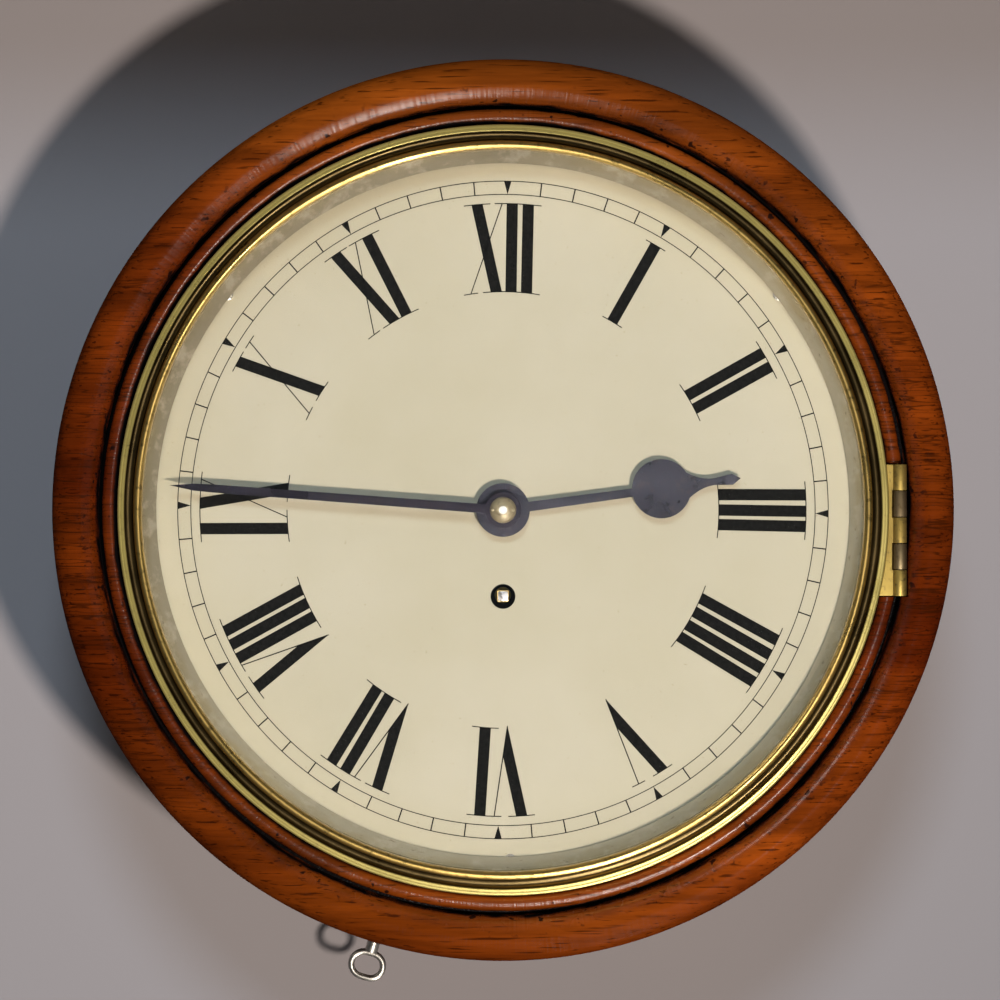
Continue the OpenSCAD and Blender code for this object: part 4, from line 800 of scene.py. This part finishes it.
# %% Roman numerals
OUTER, INNER, APEX = 113.4, 80.8, 79.9
BAR, HAIR, FOOT = 4.2, 0.42, 0.36
LONE_FOOT, PAIRED_FOOT, HAIR_FOOT, X_OUTER_FOOT = 2.1, 2.9, 2.7, 2.8
NUMERALS = {
    12: (("X", -9.7, -2.5, -0.3, -12.0), ("I", 3.5, 3.0), ("I", 9.5, 8.8)),
    1: (("I", 0.5, 0.6),),
    2: (("I", -1.7, -2.2), ("I", 4.1, 3.4)),
    3: (("I", -5.6, -5.7), ("I", 0.5, 0.0), ("I", 6.1, 5.4)),
    4: (("I", -9.5, -8.7), ("I", -3.5, -3.2), ("I", 2.4, 2.3), ("I", 8.2, 7.5)),
    5: (("V", -3.6, 1.7, 6.7),),
    6: (("V", -7.0, -1.7, 3.3), ("I", 8.7, 6.6)),
    7: (("V", -10.8, -5.2, -1.3), ("I", 2.8, 2.4), ("I", 8.8, 7.8)),
    8: (("V", -10.8, -7.4, -0.9), ("I", 2.0, 1.3), ("I", 7.6, 6.8), ("I", 13.1, 12.2)),
    9: (("I", -6.9, -6.8), ("X", 2.5, 8.0, 11.4, -2.6)),
    10: (("X", -2.0, 4.2, 6.5, -5.3),),
    11: (("X", -7.0, -0.2, 1.7, -9.3), ("I", 6.6, 4.9)),
}


def ink_bar(bm, outer, inner, width, turn):
    """A stroke of even width from the outer to the inner circle of the numerals."""
    corners = [on_ring(across + side * width / 2, radius)
               for across, radius in ((outer, OUTER), (inner, INNER)) for side in (-1, 1)]
    ink_shape(bm, [corners[0], corners[1], corners[3], corners[2]], turn)


def ink_foot(bm, across, reach, radius, turn):
    """A thin foot line across the end of a stroke."""
    start = math.degrees((across - reach) / radius)
    ink_arc(bm, radius, FOOT, turn + start, math.degrees(2 * reach / radius))


bm = bmesh.new()
for hour, strokes in NUMERALS.items():
    turn = hour * 30
    reach = BAR / 2 + (LONE_FOOT if len(strokes) == 1 else PAIRED_FOOT)
    for kind, outer, inner, *hairline in strokes:
        ink_foot(bm, outer, reach, OUTER, turn)
        if kind == "V":
            hair_end = hairline[0]
            cut = (hair_end - outer - BAR / 2) / (hair_end - outer + BAR / 2)
            apex = on_ring(inner, APEX)
            tip = on_ring(hair_end, OUTER)
            ink_shape(bm, [on_ring(outer - BAR / 2, OUTER), on_ring(outer + BAR / 2, OUTER),
                           tip.lerp(apex, cut), apex], turn)
            side = Vector((HAIR / 2, 0, 0))
            ink_shape(bm, [tip - side, tip + side, apex + side, apex - side], turn)
            ink_foot(bm, hair_end, HAIR_FOOT, OUTER, turn)
        else:
            ink_bar(bm, outer, inner, BAR, turn)
            ink_foot(bm, inner, reach, INNER, turn)
        if kind == "X":
            ink_bar(bm, *hairline, HAIR, turn)
            ink_foot(bm, hairline[0], X_OUTER_FOOT, OUTER, turn)
            ink_foot(bm, hairline[1], HAIR_FOOT, INNER, turn)
lay_ink(bm, "roman_numerals")

# %% [markdown]
# The surround is one turned ring of mahogany: a bold half-round outside, a fine bead inside and a
# narrow quirk between them, which its material darkens to near black. On a lathe the section is
# all there is, so here it is a loop of points as radius and depth, swept round the centre.

# %% Turning helpers
def arc(radius_at, depth_at, radius, start, end, count):
    """Points on a round of the section, between two angles: 0 is outward, 90 to the front."""
    angles = [math.radians(start + (end - start) * step / count) for step in range(count + 1)]
    return [(radius_at + radius * math.cos(a), depth_at + radius * math.sin(a)) for a in angles]


def sweep_section(bm, section, steps=288):
    """Turns a closed section, in mm as radius and depth, right round the centre of the dial."""
    points = [bm.verts.new(Vector((radius, -depth, 0)) * MM) for radius, depth in section]
    edges = [bm.edges.new((points[i - 1], points[i])) for i in range(len(points))]
    bmesh.ops.spin(bm, geom=points + edges, cent=(0, 0, 0), axis=(0, 1, 0), angle=math.tau,
                   steps=steps, use_merge=True)
    bmesh.ops.remove_doubles(bm, verts=bm.verts, dist=1e-7)


# %% [markdown]
# A boolean cut for the hinge would spoil the smooth sweep. So the ring is only split along the
# ends of the hinge recess, and the points inside it are pressed back to its floor and its side.

# %% Surround
RIM, TORUS_IN, QUIRK_IN, SEAT, LEDGE_IN, HOLE = 165.0, 148.6, 147.0, 141.3, 137.0, 95.0
BACK, LEDGE_DEEP, SEAT_DEEP, QUIRK_DEEP = 105.0, 111.5, 120.7, 123.2
TORUS_AT, TORUS_R, TORUS_END = (156.75, 127.75), 8.25, 168
BEAD_AT, BEAD_R = (144.15, 126.2), 2.85
RECESS_LOW, RECESS_HIGH, RECESS_SIDE, RECESS_DEEP = -31.7, 17.1, 147.75, 119.7
RECESS_FROM, RECESS_RADIUS, CUT_GAP = 130, TORUS_IN - 0.3, 0.01
section = [(HOLE, BACK + 0.5), (HOLE + 0.5, BACK), (RIM - 2, BACK), (RIM - 0.6, BACK + 0.4),
           (RIM, BACK + 2), (RIM, BACK + 11)]
section += arc(*TORUS_AT, TORUS_R, 0, TORUS_END, 44)
section += [(TORUS_IN, 127.6), (TORUS_IN, QUIRK_DEEP + 0.4), (TORUS_IN - 0.3, QUIRK_DEEP),
            (QUIRK_IN + 0.3, QUIRK_DEEP), (QUIRK_IN, QUIRK_DEEP + 0.4)]
section += arc(*BEAD_AT, BEAD_R, 0, 180, 20)
section += [(SEAT, SEAT_DEEP), (LEDGE_IN, SEAT_DEEP), (LEDGE_IN, LEDGE_DEEP),
            (HOLE + 0.3, LEDGE_DEEP), (HOLE, LEDGE_DEEP - 0.3)]
bm = bmesh.new()
sweep_section(bm, section)
for level in (RECESS_LOW, RECESS_HIGH):
    for side in (-CUT_GAP, CUT_GAP):
        bmesh.ops.bisect_plane(bm, geom=bm.verts[:] + bm.edges[:] + bm.faces[:], dist=1e-7,
                               plane_co=Vector((0, 0, level + side)) * MM, plane_no=(0, 0, 1))
for vert in bm.verts:
    x, y, z = vert.co / MM
    if x > RECESS_FROM and RECESS_LOW < z < RECESS_HIGH and -y > RECESS_DEEP:
        if math.hypot(x, z) < RECESS_RADIUS and x < RECESS_SIDE:
            vert.co.y = -RECESS_DEEP * MM
        if math.hypot(x, z) > RECESS_RADIUS:
            vert.co.x = max(x, RECESS_SIDE) * MM
new_piece("turned_surround", bm, ring_wood, "case", "dial_surround", "dial_surround")

# %% [markdown]
# The bezel is spun brass: a flat rim with a fine scratch line, a hollow that has never been
# polished, dark with tarnish and painted shade, and a bright rounded lip that holds the glass. Its
# section is drawn the same way, from the skirt at the back round the front and in to the lip.

# %% Bezel
BEZEL_OUT, BEZEL_IN, SKIRT, SKIRT_DEEP, LIP_DEEP = 140.9, 131.9, 137.2, 121.0, 129.0
RIM_ROUND, HOLLOW, LIP = (140.2, 130.75, 0.7), (136.8, 131.5, 1.7), (133.4, 132.5, 1.5)
SCRATCH_LINE = [(139.75, 131.42), (139.65, 131.2), (139.5, 131.2), (139.4, 131.4)]
FLAT_END = [(138.75, 131.42), (138.5, 131.25), (138.4, 130.9)]
section = [(SKIRT, SKIRT_DEEP + 0.2), (SKIRT + 0.2, SKIRT_DEEP), (BEZEL_OUT - 0.3, SKIRT_DEEP),
           (BEZEL_OUT, SKIRT_DEEP + 0.3)]
section += arc(*RIM_ROUND, 0, 80, 6)
section += [(139.95, 131.44), *SCRATCH_LINE, *FLAT_END]
section += arc(*HOLLOW, -20, -165, 16)
section += arc(*LIP, -12, 180, 20)
section += [(BEZEL_IN, LIP_DEEP + 0.2), (BEZEL_IN + 0.2, LIP_DEEP), (SKIRT, LIP_DEEP)]
bm = bmesh.new()
sweep_section(bm, section)
new_piece("spun_bezel", bm, bezel_bands, "bezel", "bezel_ring", "bezel_ring")

# %% [markdown]
# Behind the glass a thin sloping ring of silvered brass, the slip, leads the eye down to the dial.
# Its flange reaches out to the skirt of the bezel.

# %% Slip
SLIP_IN, SLIP_FOOT, GLASS_BACK, FLANGE = 128.2, 113.75, 127.0, 1.2
section = [(SLIP_IN, SLIP_FOOT + 0.3), (SLIP_IN + 0.15, SLIP_FOOT + 0.6),
           (BEZEL_IN - 0.35, GLASS_BACK - 0.5), (BEZEL_IN, GLASS_BACK), (SKIRT, GLASS_BACK),
           (SKIRT, GLASS_BACK - FLANGE), (BEZEL_IN + 1.5, GLASS_BACK - FLANGE),
           (SLIP_IN + 1.3, SLIP_FOOT), (SLIP_IN + 0.3, SLIP_FOOT)]
bm = bmesh.new()
sweep_section(bm, section)
new_piece("silvered_slip", bm, silvered, "bezel", "sight_ring", "sight_ring")

# %% [markdown]
# The square that takes the winding key is steel, polished by every turn of the key, while the rest
# of the fusee is brass. One cube, scaled to the square and bevelled, caps its end.

# %% Winding square
SQUARE, SQUARE_LENGTH, SQUARE_DEEP, SQUARE_BELOW, SQUARE_WORN = 4.16, 12, 102.55, 32, 0.35
bm = bmesh.new()
bmesh.ops.create_cube(bm, size=1.0)
bmesh.ops.scale(bm, verts=bm.verts, vec=(SQUARE * MM, SQUARE_LENGTH * MM, SQUARE * MM))
bmesh.ops.translate(bm, verts=bm.verts, vec=(0, -SQUARE_DEEP * MM, -SQUARE_BELOW * MM))
bmesh.ops.bevel(bm, geom=bm.edges[:], offset=SQUARE_WORN * MM, offset_type="OFFSET", segments=2,
                profile=0.5, affect="EDGES", material=-1)
new_piece("winding_square", bm, key_steel, "fusee", "fusee")

# %% [markdown]
# Nothing handmade has a razor edge. Boards are planed and sanded at the corners, and plates, leaves
# and hands are filed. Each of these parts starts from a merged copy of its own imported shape, and
# one bevel as wide as the wear takes off its sharp edges.

# %% Worn edges
MERGE, COPLANAR, SHARP = 2e-6, math.radians(1), math.radians(40)


def soften(node, width, look, body):
    """Replaces a node with a copy whose sharp edges carry a narrow bevel, its width in mm."""
    bm = bmesh.new()
    bm.from_mesh(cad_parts[node].data)
    bmesh.ops.remove_doubles(bm, verts=bm.verts, dist=MERGE)
    bmesh.ops.dissolve_limit(bm, angle_limit=COPLANAR, verts=bm.verts, edges=bm.edges)
    sharp = [edge for edge in bm.edges if edge.calc_face_angle(0) > SHARP]
    bmesh.ops.bevel(bm, geom=sharp, offset=width * MM, offset_type="OFFSET", segments=2,
                    profile=0.5, affect="EDGES", clamp_overlap=True, material=-1)
    new_piece(node + "_worn", bm, look, body, node, node, plates=True)


for node in ("case_left_side", "case_right_side", "case_top", "case_bottom"):
    soften(node, 0.7, case_wood, "case")
soften("back_board", 0.7, pale_wood, "case")
soften("side_door", 0.6, case_wood, "side_door")
soften("bottom_door", 0.6, case_wood, "bottom_door")
soften("minute_hand", 0.14, dark_blued, "centre")
soften("hour_hand", 0.2, blued_steel, "hour")
soften("bezel_hinge_leaf", 0.22, hinge_brass, "bezel")
soften("case_hinge_leaf", 0.2, dark_brass, "case")

# %% [markdown]
# The box of the imported parts is printed at the end. The model has to stay inside the box of
# the imported parts.

print("CAD box", [[round(v, 4) for v in corner] for corner in CAD_BOX])
